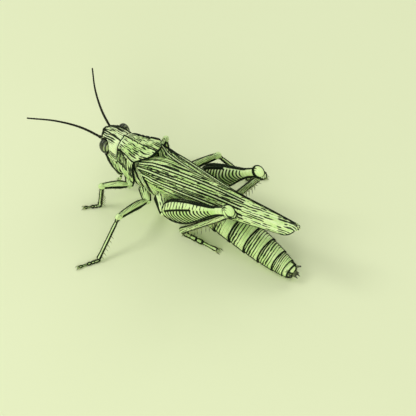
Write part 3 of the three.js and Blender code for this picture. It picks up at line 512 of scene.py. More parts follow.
# ---------------- pen lines
# Dark pen lines lie on the surfaces at fixed places: where the drawing has its outlines.
def side_line(grid, radius, along=(0, 0, 0), wide=0.19):
    """Distance in millimetres from the dark lines that run along both sides of a limb."""
    along = np.array(along)
    lean = normals(grid) @ unit(AWAY - (AWAY @ along) * along)
    inset = radius * (1 - np.sqrt(1 - np.clip(lean, 0, 1) ** 2))
    return np.maximum(inset - wide, 0) + FAR * ease(lean, -0.05, -0.2)


def nearest(points, targets):
    """Distance from each point to the nearest of the targets."""
    tree = KDTree(len(targets))
    for k, target in enumerate(targets):
        tree.insert(target, k)
    tree.balance()
    return np.array([tree.find(point)[2] for point in points.reshape(-1, 3)]).reshape(points.shape[:-1])


def outline(grid, outward, wide=0.18, reach=1.2):
    """Distance in millimetres, as the drawing shows it, from where a surface turns out of sight.
    The dark line is at most reach wide on the surface itself."""
    lean = np.sum(outward * unit(VIEWPOINT - grid), -1)
    rim = []
    for near, beyond, p, q in (
        (lean[:-1], lean[1:], grid[:-1], grid[1:]),
        (lean[:, :-1], lean[:, 1:], grid[:, :-1], grid[:, 1:]),
    ):
        turns = near * beyond < 0
        share = (near[turns] / (near[turns] - beyond[turns]))[:, None]
        rim.append(mix(p[turns], q[turns], share))
    rim = np.concatenate(rim)
    if not len(rim):
        return np.full(lean.shape, FAR)

    def flat(points):
        ray = points - VIEWPOINT
        return ray * (-VIEW["distance"] / (ray @ AWAY))[..., None]

    seen = nearest(flat(grid), flat(rim)) - wide
    real = nearest(grid, rim) - reach
    return np.maximum(np.maximum(seen, real), 0) + FAR * ease(lean, -0.06, -0.16)


# ---------------- head
head_front = profile(
    (6, 3.9), (7.5, 3.1), (9, 2.4), (12, 1.35), (15, 0.55), (16.8, 0.1), (17.8, 0.3), (18.4, 1.5),
    (18.9, 3.6),
)
head_side = profile(
    (6, 3.5), (7.5, 4.1), (9.5, 4.5), (11.5, 4.6), (13.5, 4.35), (15.5, 4), (17, 3.5), (17.8, 2.9),
    (18.4, 2.2), (18.9, 1.2),
)
ANTENNA_PATHS = {
    "right": ((1.9, 1.4, 14.9), (-4.9, 4.1, 17.8), (-10.9, 7.9, 19.8), (-16.9, 13, 21)),
    "left": ((1.9, -1.4, 14.9), (-4.4, -4.1, 18.6), (-10.6, -7.3, 20.4), (-17.9, -11.5, 21)),
}


def eye_distance(points):
    """About how far points are from the surface of the nearer eye, in millimetres."""
    x, y, z = np.moveaxis(points, -1, 0)
    away = zip((x, np.abs(y), z), EYE["at"], EYE["half"])
    return (np.sqrt(sum(((value - at) / half) ** 2 for value, at, half in away)) - 1) * 1.8


def head_grid():
    # degrees run round the head from the middle of the face.
    dome = mix(17, 18.86, np.sin(np.linspace(0.03, 1, 44) * np.pi / 2))
    z = np.append(np.linspace(HEAD["chin"], 17, 130), dome)[:, None]
    degrees = np.linspace(-180, 180, 240, endpoint=False)[None]
    around, aside = np.radians(degrees), np.abs(degrees)
    front, back, side = head_front(z), HEAD["back"], head_side(z)
    ridge = 0.3 * ease(aside, 13, 8) * (1 - np.abs(z - HEAD["brow"]) / 14)
    ridge = ridge - 0.16 * hill(degrees, 5) * within(z, 8.5, 10, 14.5, 16.5)
    furrow = 0.22 * hill(aside - FURROW, 2.6) * (1 - ease(z, 12, 14))
    cheek = 0.22 * hill(aside - 88, 30) * hill(z - 11, 2.4)
    reach = 1 + (ridge - furrow + cheek) / 4
    x = (front + back) / 2 - bent(np.cos(around), 0.82) * (back - front) * reach / 2
    y = bent(np.sin(around), 0.82) * side * (1 + (cheek - furrow) / 4)
    neck = ease(x, 7.2, 8.4)
    grid = np.stack([x, y * (1 - 0.17 * neck), mix(HEAD["middle"], z, mix(1, 0.95, neck))], -1)
    # The underside closes towards the mouth.
    rings = []
    for share, drop in ((0.7, 0.18), (0.9, 0.1), (0.97, 0.03)):
        ring = mix(grid[0].mean(0), grid[0], share)
        ring[:, 2] = grid[0][:, 2] - drop
        rings.append(ring)
    grid = np.concatenate([rings, grid])
    z = np.append(np.full((3, 1), HEAD["chin"]), z, 0)
    away, n = eye_distance(grid), normals(grid)
    contour = outline(grid, n, wide=0.2, reach=1.8)
    rim = 0.16 * hill(away - 0.42, 0.22) - 0.25 * hill(away - 0.08, 0.16)
    sockets = []
    for name, hand in HANDS.items():
        root = np.array(ANTENNA_PATHS[name][0]) + (-0.9, hand * 0.45, 0.4)
        gap = np.linalg.norm(grid - root, axis=-1)
        rim = rim + 0.14 * hill(gap - 1.05, 0.2) - 0.12 * hill(gap, 0.75)
        sockets.append(np.abs(gap - 0.82))
    grid = grid + n * rim[..., None]
    x, y, high = np.moveaxis(grid, -1, 0)
    line = least(
        contour, *sockets, np.abs(away - 0.1), np.abs(z - 7.05),
        np.abs(aside - 11.5) * HEAD["degree"] + 3 * ease(z, 9.6, 8.6),
        np.abs(aside - FURROW) * HEAD["degree"] + 4 * ease(z, 12, 14),
        np.abs(np.abs(y) - mix(0.9, 1.5, ease(x, 0.4, 7))) + 4 * ease(z, 17.4, 16.8),
    )
    top = ease(z, 16.9, 17.8)
    crown = 0.66 * top * ease(x, 7.2, 5.6)
    stripe = ease(x, 4.4, 5.4) * hill(high - 14.6, 1.3) * (1 - top)
    cheeks = 0.55 * ease(aside, 60, 85) * ease(z, 13.6, 12.4)
    shade = np.clip(crown + 0.75 * stripe + cheeks, 0, 1) * ease(away, 0.1, 0.4)
    hatch = mix(high / 0.6 + x / 1.6, y / 0.54, top)
    hatch = mix(hatch, x / 0.5 + high / 6, ease(high, 13.2, 12.4))
    pale = np.clip(0.7 * hill(aside - 30, 16) * ease(z, 15, 12) + 0.9 * ease(z, 12, 15.5), 0, 1)
    return grid, dict(line=line, hatch=hatch, shade=shade, pale=pale)


# ---------------- trunk
trunk_top = profile((7, 17.8), (10, 18), (13, 18), (15, 17.3), (18, 16.8), (23, 16.5), (29, 15.6))
trunk_belly = profile((7, 7.8), (9, 6.8), (12, 5.9), (16, 5.2), (24, 5.2), (29, 5.7))
trunk_side = profile((7, 3.7), (10, 4.2), (14, 4.75), (18, 4.9), (23, 5), (29, 4.7))


def trunk_grid():
    station = np.linspace(7, 28.3, 230)[:, None]
    angle = ring_angles(112)[None]
    slant, level = THORAX["lean"] * ease(station, 9, 12.5), THORAX["level"]
    # The sections lean, so that x and z are worked out from each other in turn.
    z = np.full((230, 112), level)
    for _ in range(4):
        x = station - slant * (z - level)
        top, belly, side = trunk_top(x), trunk_belly(x), trunk_side(x)
        middle = mix(belly, top, 0.45)
        z = middle + bent(np.sin(angle), 0.8) * np.where(np.sin(angle) > 0, top - middle, middle - belly)
    shrink = 1 - 0.1 * ease(station, 27.3, 28.3)
    y = bent(np.cos(angle), 0.8) * side * shrink
    grid = np.stack([x, y, mix(THORAX["waist"], z, shrink)], -1)
    flank = within(z, 6.4, 7.4, 16.5, 17.5)
    seams = [np.abs(station - at + 0.03 * np.sin(z * 2.1)) for at in THORAX["seams"]]
    seams += [np.abs(station - at + 0.12 * (z - level)) for at in THORAX["sutures"]]
    groove = sum(hill(gap, 0.3) for gap in seams)
    pillow = sum(hill(gap - 1.2, 0.9) for gap in seams) * 0.1
    plates = hill(np.abs(y) * ease(z, 8, 6) - 2.2, 0.2) * ease(z, 6.2, 5.6) * 0.12
    grid = grid + normals(grid) * (flank * (pillow - 0.4 * groove) - plates)[..., None]
    lines = [np.maximum(gap - wide, 0) + 3 * (1 - flank) for gap, wide in zip(seams, (0.3, 0.3, 0.2, 0.12))]
    # Painted shade: the strokes crowd along three of the seams, where their grooves sink, over a thinner
    # hatch on the rest of the flank.
    strips = sum(hill(gap, 0.8) for gap in seams[:3])
    shade = np.clip((0.65 * strips + 0.3) * flank, 0, 1)
    pale = np.clip(ease(z, 9, 6) + 0.6 * hill(station - 18, 1.1) * flank, 0, 1)
    return grid, dict(line=least(*lines), hatch=station / 0.6 + (z - level) * 0.25, shade=shade, pale=pale)


# ---------------- abdomen
abdomen_line = Line(
    (THORAX["rear"] + 0.3, 0, THORAX["waist"]), (36, 0, 9.9), (46, -0.1, 7.7), (56, -0.35, 4.9),
    (ABDOMEN["tip"], -0.7, 2.4),
)
abdomen_size = profile((0, 1), (0.15, 1.02), (0.4, 0.98), (0.6, 0.9), (0.8, 0.73), (0.93, 0.53), (1, 0.41))
# Each ring rises from a waist, ends in a lip and turns in under itself: its share and its swell.
RING = (
    (0, 0.925), (0.05, 0.94), (0.14, 0.97), (0.3, 0.992),
    (0.55, 1), (0.78, 1.005), (0.9, 1.03), (0.97, 1.035),
)
RING_LIP = ((0.995, 1.03), (1.012, 1.02), (1.016, 1), (1.008, 0.975), (0.985, 0.945))
LAST_RING = (
    (0.937, 0.93), (0.945, 0.97), (0.955, 0.99), (0.963, 0.985), (0.971, 0.93),
    (0.978, 0.86), (0.985, 0.72), (0.99, 0.55), (0.993, 0.35), (0.9945, 0.15),
)


def abdomen_grid():
    even = np.linspace(0, 0.97, 30)
    ring = [*zip(even, np.interp(even, *np.transpose(RING))), *RING_LIP]
    rows = [(-0.03, 0.93, 0, 0), (-0.01, 0.93, 0, 0)]
    for k, (start, end) in enumerate(zip(SEGMENT_ENDS, SEGMENT_ENDS[1:])):
        rows += [(mix(start, end, u), swell, min(u, 1), k) for u, swell in ring]
    rows += [(t, swell, 0.3, 8) for t, swell in LAST_RING]
    t, swell, share, number = np.array(rows).T[..., None]
    on = np.clip(t[:, 0], 0, 1)
    ahead = abdomen_line.ahead(on)
    up = -np.cross([0, 1, 0], ahead)
    centre = abdomen_line.at(on) + ahead * np.minimum(t, 0) * abdomen_line.length
    degrees = (np.arange(120) * 3.0)[None]
    angle = np.radians(degrees)

    def from_sides(at):
        """Degrees from the nearer of two lines, one on each flank."""
        return np.minimum(np.abs(degrees - at), np.abs(degrees - (540 - at) % 360))

    below = from_sides(315)
    size = abdomen_size(on)[:, None]
    body = number < 8
    keel = 0.015 * hill(degrees - 90, 4) * body
    fold = 0.05 * hill(below, 5) * body
    belly = (degrees > 225) & (degrees < 315)
    # Under the fold the lips are low, as the belly plates lie edge to edge.
    radius = size * np.where(belly, mix(swell, 0.985, 0.45), swell) * (1 - fold + keel)
    across = bent(np.cos(angle), 0.9) * ABDOMEN["wide"] * radius
    rise = bent(np.sin(angle), 0.9) * ABDOMEN["deep"] * radius
    grid = centre[:, None] + up[:, None] * rise[..., None]
    grid[..., 1] += across
    step = abdomen_line.length * 0.115  # about how long a ring is
    pore = np.hypot((share - 0.3) * step, from_sides(330) * ABDOMEN["degree"] * size)
    ear = np.hypot((share - 0.45) * step / 1.25, from_sides(8) * ABDOMEN["degree"])
    pit = -0.12 * hill(pore, 0.2) * body + 0.05 * hill(pore - 0.32, 0.12) * body
    pit = pit + np.where(number == 0, -0.3 * ease(ear, 0.95, 0.6) + 0.1 * hill(ear - 1.1, 0.2), 0)
    grid = grid + normals(grid) * pit[..., None]
    line = least(
        np.where(body, np.abs(share - 0.985) * step - 0.06, FAR) + np.where(belly, 0.12, 0),
        below * ABDOMEN["degree"] * size + np.where(body, 0, FAR),
        np.where(body, np.maximum(pore - 0.05, 0), FAR),
        np.where(number == 0, np.abs(ear - 0.85), FAR),
        np.abs(t - 0.968) * 38,
        side_line(grid, 4, unit(abdomen_line.at(1) - abdomen_line.at(0)), 0.03),
    )
    # The strokes on the rings are painted shade: densest at the front of each ring, just behind the
    # overhanging lip of the ring before, wider on the rear rings, stronger on the flanks and faint on the
    # belly.
    rear = ease(t, 0.3, 0.8)
    near = ease(share, mix(0.55, 0.95, rear), mix(0.08, 0.45, rear)) * 0.8
    near = near + ease(share, 0.72, 0.97) * 0.4 * (1 - rear)
    sides = 0.75 + 0.25 * hill(from_sides(20), 35)
    shade = np.where(belly, 0.25, 1) * near * sides * np.where(body, 0.85, 0.5)
    pale = np.clip(np.where(belly, 0.75, 0) + 0.35 * hill(below - 12, 10), 0, 1)
    hatch = share * 6 + 0.4 * np.sin(angle * 2)
    return grid, dict(line=line, hatch=hatch, shade=shade, clean=0.55, pale=pale)


body = Skin()
grids = []
for grid, marks in (head_grid(), trunk_grid(), abdomen_grid()):
    body.grid(grid, **marks)
    grids.append(grid)
head, trunk, abdomen = grids
thorn(body, [(10.8, 0, 8), (10.6, 0, 5.6), (10.2, 0, 4.5)], 0.6, sides=20, ink=0, pale=0.6)
body.build(
    "body_skin", FLESH, "shell", "head", "prothorax", "mesothorax", "metathorax",
    *[f"abdomen_{k}" for k in range(1, 9)], "abdomen_tip",
)
off_the_eyes = ease(eye_distance(head), 0.3, 0.6) * ease(head[..., 0], 7.5, 6.5)
body_coat.grow(head, 600, 0.3, weight=off_the_eyes, lean=(-0.4, 0, -1))
body_coat.grow(trunk, 900, 0.6, weight=ease(trunk[..., 2], 12, 8) + 0.05, lean=(0.6, 0, -1))
body_coat.grow(abdomen, 1500, 0.45, weight=0.35 + ease(abdomen[..., 0], 45, 62), lean=(1, 0, -0.3))


# ---------------- eyes, feelers and mouth
def ocellus(name, centre, half):
    Skin().grid(ball(centre, half, across=24, down=16), hatch=0.2).build(f"ocellus_{name}", LENS, "eye")


for name, hand in HANDS.items():
    x, y, z = EYE["at"]
    grid = ball((x, hand * y, z), EYE["half"], across=72, down=54)
    # The rear and lower part of each eye is paler: partly its own colour, partly a painted highlight.
    behind = ease(grid[..., 0] + 0.25 * (z - grid[..., 2]), x - 0.2, x + 1.1)
    lens = Skin().grid(grid, line=side_line(grid, 1.9), hatch=grid[..., 0] / 0.7, pale=behind)
    lens.build(f"eye_{name}_lens", LENS, "eye", f"eye_{name}")
    ocellus(name, (0.95, hand * 1.75, 16.2), (0.3, 0.3, 0.34))
ocellus("middle", (0.35, 0, 14.35), (0.26, 0.28, 0.34))


def antenna(name):
    """A feeler: its scape, its pedicel and its jointed whip."""
    path = Line(*ANTENNA_PATHS[name])
    root, start = ANTENNA["root"], WHIP_START
    joints = np.linspace(start, 1, ANTENNA["joints"] + 1)
    step = joints[1] - joints[0]
    t = [0, 0.01, 0.03, 0.05, 0.07, 0.076, 0.08, 0.084, 0.088, 0.095, 0.105, 0.112, 0.116]
    for a, b in zip(joints, joints[1:]):
        t += [mix(a, b, u) for u in (0.0, 0.06, 0.14, 0.3, 0.5, 0.7, 0.86, 0.95)]
    t = np.array([*t, 1])

    def phase(u):
        return (np.clip(u, start, 1) - start) / step % 1

    def size(u):
        part = phase(u)
        waist = 1 - 0.22 * (hill(part, 0.06) + hill(part - 1, 0.06))
        whip = mix(root, ANTENNA["tip"], ease(u, start, 1)) * waist * (1 + 0.05 * (part - 0.5))
        scape = ANTENNA["scape"] * (0.78 + 0.22 * np.sin(np.clip(u / SCAPE_END, 0, 1) * np.pi * 0.8))
        pedicel = root * 1.35 * (0.75 + 0.25 * np.sin(np.clip((u - 0.082) / 0.034, 0, 1) * np.pi))
        ends = [u < SCAPE_END, u < PEDICEL_START, u < PEDICEL_END]
        return np.select(ends, [scape, root * 0.95, pedicel], whip)

    grid, tt, _ = limb(path, (0, 0, 1), size, t, 16)
    gap = np.minimum(phase(t), 1 - phase(t)) * step
    gap = np.where(t < PEDICEL_END, np.abs(t - (SCAPE_END + PEDICEL_START) / 2), gap) * path.length
    return grid, dict(line=np.pad(gap, CAP, "edge")[:, None], ink=mix(0.25, 1, ease(tt, 0.1, 0.9)))


for name in HANDS:
    grid, marks = antenna(name)
    Skin().grid(grid, **marks).build(f"feeler_{name}", WHIP, "horn", f"antenna_{name}")
    body_coat.grow(grid, 260, 0.22, stand=0.5, thick=0.012)

face_up = unit(np.array([-0.5, 0, 1]))
face_axes = [-np.cross(face_up, [0, 1, 0]), np.array([0, 1, 0]), face_up]
clypeus = ball((2.95, 0, 8), (0.78, 2.5, 0.95), face_axes)
labrum = ball((3.95, 0, 6.1), (0.78, 2.1, 1.5), face_axes)
labrum[..., 2] += hill(labrum[..., 1], 0.35) * ease(labrum[..., 2], 6.2, 5.0) * 0.45
mouth = Skin()
for grid, height in ((clypeus, 7.35), (labrum, 5.4)):
    mouth.grid(grid, line=np.abs(grid[..., 2] - height), hatch=grid[..., 1] / 0.5, shade=0.12, pale=0.5)
mouth.build("upper_lip", FLESH, "shell", "clypeus", "labrum")
labium = ball((7.4, 0, 6.2), (0.65, 1.9, 1.4))
Skin().grid(labium, line=np.abs(labium[..., 1]), pale=0.5).build("lower_lip", FLESH, "belly", "labium")

PALP_JOINTS = np.array([0.2, 0.5, 0.82])
PALPS = (
    (0.34, ((6.8, 3.1, 6.8), (6.7, 3.9, 5.1), (5.8, 4, 3.7), (4.5, 3.2, 3))),
    (0.26, ((7.2, 1.2, 6.0), (7.0, 1.7, 4.7), (6.2, 1.9, 3.9))),
)


def palp_gap(u):
    return np.min(np.abs(u[..., None] - PALP_JOINTS), axis=-1)


def palp_size(u):
    return 1 - 0.3 * hill(palp_gap(u), 0.02) + 0.12 * ease(u, 0.85, 0.97)


for name, hand in HANDS.items():
    jaw = ball((5.4, hand * 2.15, 6.3), (1.45, 1.45, 1.65))
    jaw[..., 1] = hand * np.maximum(hand * jaw[..., 1], 0.08)
    Skin().grid(jaw, ink=ease(jaw[..., 2], 6.0, 5.0)).build(f"jaw_{name}", HORN, "horn", f"mandible_{name}")
    palps = Skin()
    for radius, points in PALPS:
        path = Line(*[(x, hand * y, z) for x, y, z in points])
        grid, tt, _ = limb(path, (0, 1, 0.2), lambda u: radius * palp_size(u), 70, 18, blunt=(0.6, 0.9))
        palps.grid(grid, line=palp_gap(tt) * path.length, pale=0.7)
        body_coat.grow(grid, 90, 0.3, thick=0.014)
    palps.build(f"palps_{name}", FLESH, "belly", f"palp_{name}")

# ---------------- pronotum
ridge_high = profile((7, 19.1), (10, 19.2), (14, 19.3), (17, 19.7), (21, 20.3))
shoulder_high = profile((7, 17.5), (12, 18), (16.5, 18.4), (21, 19))
shoulder_wide = profile((7, 3), (12, 4.1), (16.5, 5.3), (21, 5.5))
lobe_wide = profile((7, 4.8), (11, 5.25), (15, 5.85), (21, 6))
lobe_low = profile((7, 9.5), (10, 9.2), (14, PRONOTUM["lobe"]), (16, 9), (21, 9.6))
SHOULDER = 0.4  # the share of the way from keel to hem at which the back turns into the side
# Where the saddle's rear and front edges lie, by that share.
saddle_rear = profile(
    (0, PRONOTUM["apex"]), (0.14, 20.2), (0.3, 18.1), (SHOULDER, 16.7), (0.62, 15.6),
    (0.85, PRONOTUM["corner"]), (1, 13.8),
)
saddle_front = profile((0, 7.8), (0.3, 8), (0.6, 8.3), (0.85, 9), (1, 10.2))
SULCI = (0.29, 0.44, 0.62)  # its cross grooves, as shares of the way from front to rear


def saddle_points(x, share):
    """The saddle's section at each x: a line through the ridge, the shoulder and the lobe's hem."""
    tracks = ridge_high, shoulder_high, shoulder_wide, lobe_wide, lobe_low
    ridge, high, wide, outer, hem = (track(x) for track in tracks)
    p = np.moveaxis(np.array([
        (0 * x, ridge),
        (wide * 0.55, mix(ridge, high, 0.28)),
        (wide, high),
        (mix(wide, outer, 0.75), high - 2.4),
        (outer, mix(high, hem, 0.6)),
        (outer - 0.25, hem),
    ]), 1, -1)
    p = np.concatenate([2 * p[:1] - p[1:2], p, 2 * p[-1:] - p[-2:-1]])
    place = share * 5
    k = np.clip(np.floor(place).astype(int), 0, 4)
    rows, cols = np.indices(x.shape)
    at = curve(*(p[k + i, rows, cols] for i in range(4)), (place - k)[..., None])
    return at[..., 0], at[..., 1]


# The dark patch on each side lobe, as corners (x, z) in order.
PATCH = ((8.4, 17.2), (9.9, 17.8), (13.1, 17.2), (12.8, 13.6), (8.9, 14.5))


def patch_depth(x, z):
    """How far inside the patch a point lies, in millimetres, and less than nothing outside it."""
    return least(*(
        ((x - x0) * (z1 - z0) - (z - z0) * (x1 - x0)) / math.hypot(x1 - x0, z1 - z0)
        for (x0, z0), (x1, z1) in zip(PATCH, PATCH[1:] + PATCH[:1])
    ))


def pronotum():
    # s runs from front to rear, and t from hem to hem over the keel.
    s = np.linspace(0, 1, 150)[:, None]
    t = np.linspace(-1, 1, 301)[None]
    around = np.abs(t) + 0 * s
    front, rear = saddle_front(around), saddle_rear(around)
    x = mix(front, rear, s)
    y, z = saddle_points(x, around)
    thick = PRONOTUM["thick"]
    face = np.stack([x, y * np.sign(t) * (1 - thick / 2 / PRONOTUM["half"]), z - thick / 2], -1)
    up = plate_normals(face, (0, 0, 1))
    arch, long = around * PRONOTUM["arch"], rear - front  # both in millimetres
    grooves = [np.abs(s - at + 0.02 * np.sin(around * 7)) * long for at in SULCI]
    crossing = ease(around, 0.86, 0.78)
    groove = sum(hill(gap, 0.2) for gap in grooves) * crossing
    keel = 0.34 * hill(arch, 0.22) * (1 - 0.85 * np.clip(groove, 0, 1))
    border = least(s * long, (1 - s) * long, (1 - around) * PRONOTUM["arch"])
    lift = keel + 0.12 * hill(border - 0.25, 0.2) + 0.1 * hill(around - SHOULDER, 0.03) - 0.24 * groove
    inside = patch_depth(x, z)
    patch = ease(inside, -0.1, 0.5) * (0.75 + 0.25 * ease(inside, 1.1, 0.3))
    mottle = 0.5 + 0.5 * np.sin(x * 2.9 + z * 1.3) * np.sin(z * 2.1 - x * 0.9)
    disc = ease(around, 0.4, 0.34)
    line = least(
        border - mix(0.3, 0.08, ease(s, 0.2, 0.5)),
        np.abs(inside) - 0.03,
        *[gap + 0.13 + 3 * (1 - crossing) + 0.5 * disc for gap in grooves],
        arch + 0.1,
        np.abs(around - SHOULDER) * PRONOTUM["arch"] + 0.03,
        outline(face, up),
    )
    side = ease(around, 0.42, 0.55) * ease(s, 0.6, 0.8)
    shade = disc * (0.58 + 0.06 * ease(s, 0.35, 0.7)) + 0.66 * side + 0.2 * (1 - disc)
    pale = 0.8 * hill(around - 0.43, 0.04) + 0.4 * hill(around - 0.72, 0.08)
    pale = np.maximum(pale, 0.8 * ease(s, 0.35, 0.05))
    return Skin().plate(
        face, up, thick * (0.35 + 0.65 * ease(border, 0, 0.8)), lift,
        line=line, ink=patch * mix(0.35, 0.95, ease(mottle, 0.35, 0.7)),
        hatch=mix(x / STROKES, arch / STROKES + 0.12 * np.sin(x * 1.7), disc),
        shade=mix(shade * ease(s * long, 0.7, 1.1), 0.95, patch), pale=pale * (1 - patch),
    )


pronotum().build("saddle", SHELL, "shell", "pronotum")

# ---------------- wings
# Each section of a forewing bends from its inner edge over the shoulder to its hem.
wing_top = profile((16, 17.6), (22, 18), (31, 18.5), (45, 19.4), (60, 20.4), (70, 21))
wing_shoulder = profile((16, 6.1), (22, 6.6), (31, 5), (38, 3.6), (45, 2.7), (60, 1.9), (70, 1.3))
wing_side = profile((16, 5.1), (22, 5.5), (31, 5.2), (45, 3.9), (60, 2.6), (70, 1.7))
wing_hem = profile((16, 12), (22, 12.1), (31, 12.7), (45, 14.3), (60, 17.4), (70, 19.4))
wing_inner = profile(
    (16, 2.6), (19, 1.3), (21.5, -0.4), (25, -WING["lap"]), (45, -WING["lap"]), (60, -0.75), (70, -0.9),
)
fan_side = profile((23, 3.7), (31, 3.1), (38, 2.2), (45, 1.7), (60, 1.2), (66, 1))
# Each long vein's place across the wing at its root, a third of the way along, and at the tip.
VEINS = (
    (0.15, 0.08, 0.08), (0.28, 0.23, 0.21), (0.39, 0.37, 0.36), (0.48, 0.49, 0.52),
    (0.57, 0.61, 0.68), (0.66, 0.74, 0.82), (0.78, 0.89, 0.93),
)
# Finer veins that fork from a long one: its number, where they leave it, and where they end.
FORKS = ((2, 0.42, 0.44), (3, 0.3, 0.6), (3, 0.52, 0.48), (4, 0.38, 0.75), (5, 0.5, 0.88), (1, 0.35, 0.28))
# For each field between long veins: how far apart its cross veins are, and how dense its strokes.
CROSS_VEINS = np.array([1.1, 0.9, 1.0, 0.8, 0.95, 0.8, 0.9, 1.15])
FIELD_SHADES = np.array([0.32, 0.56, 0.52, 0.54, 0.54, 0.56, 0.5, 0.34])


def wing_face(hand, lift, s, t):
    """Points in the middle of a forewing's plate, at the shares s of its length and t of its width."""
    x = mix(WING["base"] + WING["slant"] * ease(t, 0.4, 1.05), WING["tip"], s)
    past = np.clip((s - 0.91) / 0.09, 0, 1)
    across = mix(0.2, t, np.sqrt(1 - 0.96 * past**2.2))
    top = wing_top(x) + lift * ease(x, 16.5, 20.5) * (1 - ease(across, 0.45, 0.85))
    a = np.stack([wing_inner(x), top + 0.1], -1)
    b = np.stack([wing_shoulder(x), top + mix(0.2, 0.7, ease(x, 20, 34))], -1)
    c = np.stack([wing_side(x), wing_hem(x)], -1)
    u = across[..., None]
    y, z = np.moveaxis((1 - u) ** 2 * a + 2 * u * (1 - u) * b + u * u * c, -1, 0)
    return np.stack([x, hand * y, z], -1)


def fore_wing(hand, lift, seed):
    s = np.append(np.linspace(0, 0.9, 370), np.linspace(0.9, 1, 61)[1:])[:, None]
    t = np.linspace(0, 1, 112)[None]
    face = wing_face(hand, lift, s, t)
    up = plate_normals(face, (0, hand, 0))
    x = face[..., 0]
    arc = np.cumsum(np.linalg.norm(np.diff(face, axis=1, prepend=face[:, :1]), axis=-1), axis=1)
    chord = arc[:, -1:]
    tracks = [profile((0, root), (0.33, third), (1, end))(s) for root, third, end in VEINS]
    gaps = [np.abs(t - track) * chord for track in tracks]
    forks = []
    for parent, leave, end in FORKS:
        goal = mix(tracks[parent], end, ease(s, leave, leave + 0.35))
        forks.append(np.abs(t - goal) * chord + 0.03 + 4 * (s < leave))
    # Cross veins, each field between two long veins with its own spacing.
    field = sum((t > track).astype(int) for track in tracks)
    offset = np.random.default_rng(seed).random(len(VEINS) + 1)[field]
    spacing = CROSS_VEINS[field]
    wobble = 0.25 * np.sin(x * 1.9 + field * 2.1) + 0.2 * np.sin(t * 31 + field)
    place = x / spacing + offset * 7 + (arc / chord) * 4.2 + wobble
    net = np.abs(place % 1 - 0.5) * spacing * 0.9
    vein = WING["vein"] * mix(1, 0.6, s) * hill(least(*gaps), 0.15)
    fine = 0.12 * hill(least(*forks), 0.12) + 0.06 * hill(net, 0.1)
    wave = 0.05 * np.sin(arc * 2.2 + x * 0.15)
    border = least(arc, chord - arc, s * WING["long"], (1 - s) * WING["long"])
    thick = WING["thick"] * (0.4 + 0.6 * ease(border, 0, 0.5))
    # Every other long vein is a pale band between two dark lines, with strokes in the fields between.
    band, half = least(*gaps[1::2]), mix(0.5, 0.3, s)
    shut = ease(s, 0.66, 0.74)
    edge = mix(0.12, 0.26, ease(s, 0.88, 0.93)) - 0.1 * ease(s, 0.96, 0.98)
    tip = within(s, 0.84, 0.9, 0.955, 0.975) * ease(t, 0.8, 0.2)
    shade = FIELD_SHADES[field] * ease(s, 0.02, 0.08) * (1 - 0.15 * ease(s, 0.5, 0.72)) + 0.2 * tip
    return Skin().plate(
        face, up, thick, np.maximum(vein, fine) + wave * ease(border, 0, 1),
        line=least(
            np.abs(band - half) - 0.06 + 3 * shut,
            least(*gaps[::2]) + 2 * ease(s, 0.42, 0.6),
            net + 0.13 + 3 * shut,
            border - edge + 0.4 * ease(s, 0.99, 0.996),
            outline(face, up) + FAR * ease(s, 0.96, 0.98),
        ),
        hatch=arc / STROKES + x / 4.5, shade=shade * np.maximum(ease(band, half, half + 0.2), shut),
        pale=0.6 * ease(band, half, half - 0.15) + 0.3 * ease(s, 0.55, 0.75),
    )


def hind_wing(hand):
    s = np.linspace(0, 1, 120)[:, None]
    t = np.linspace(0, 1, 61)[None]
    x = mix(23, 66, s) + 0 * t
    side = fan_side(x) * np.sqrt(1 - (0.97 * np.clip((s - 0.85) / 0.15, 0, 1)) ** 2)
    face = np.stack([x, hand * mix(0.3, side, t), wing_top(x) - 1.25 - 1.1 * t**2], -1)
    pleat = np.abs((t * 8) % 1 - 0.5)
    up = plate_normals(face, (0, 0, 1))
    return Skin().plate(face, up, 0.3, 0.22 * (0.5 - pleat), line=pleat * 0.5, pale=0.7)


for name, hand in HANDS.items():
    fore_wing(hand, -hand * WING["lift"], 20 + hand).build(f"tegmen_{name}", VANE, "wing", f"forewing_{name}")
    hind_wing(hand).build(f"fan_{name}", VANE, "wing", f"hindwing_{name}")

# ---------------- rear end
root = abdomen_line.at(0.965)
for name, hand in HANDS.items():
    path = Line(root + (-0.2, hand, 0.6), root + (1.6, hand * 2.1, 0.9))
    grid, tt, _ = limb(path, (0, 0, 1), lambda u: mix(0.44, 0.2, u), 20, 18)
    Skin().grid(grid, ink=ease(tt, 0.5, 1) * 0.8).build(f"cercus_{name}_horn", HORN, "horn", f"cercus_{name}")
root = abdomen_line.at(0.975)
valves = Skin().grid(ball(root, (1.3, 0.85, 0.95)))
for hand in HANDS.values():
    for rise in HANDS.values():
        points = ((0.3, 0.4, 0.25), (1.5, 0.45, 0.38), (2.1, 0.4, 0.72))
        thorn(valves, [root + (x, hand * y, rise * z - 0.1) for x, y, z in points], 0.45, sides=18)
valves.build("egg_valves", HORN, "horn", "ovipositor")

# ---------------- legs
walking_femur = profile((0, 0.62), (0.1, 0.7), (0.35, 1), (0.7, 0.88), (1, 0.7))
jumping_femur = profile(
    (0, 0.42), (0.08, 0.75), (0.25, 1), (0.45, 0.84), (0.65, 0.52), (0.82, 0.33), (1, 0.36),
)
tarsus_width = profile(
    (0, 0.8), (0.07, 1), (0.22, 1.02), (0.25, 0.86), (0.28, 1.02), (0.38, 1.0), (0.41, 0.68), (0.46, 1.02),
    (0.56, 1.05), (0.61, 0.62), (0.8, 0.68), (0.94, 0.95), (1, 0.85),
)
TARSUS_JOINTS = np.array([0.41, 0.61])
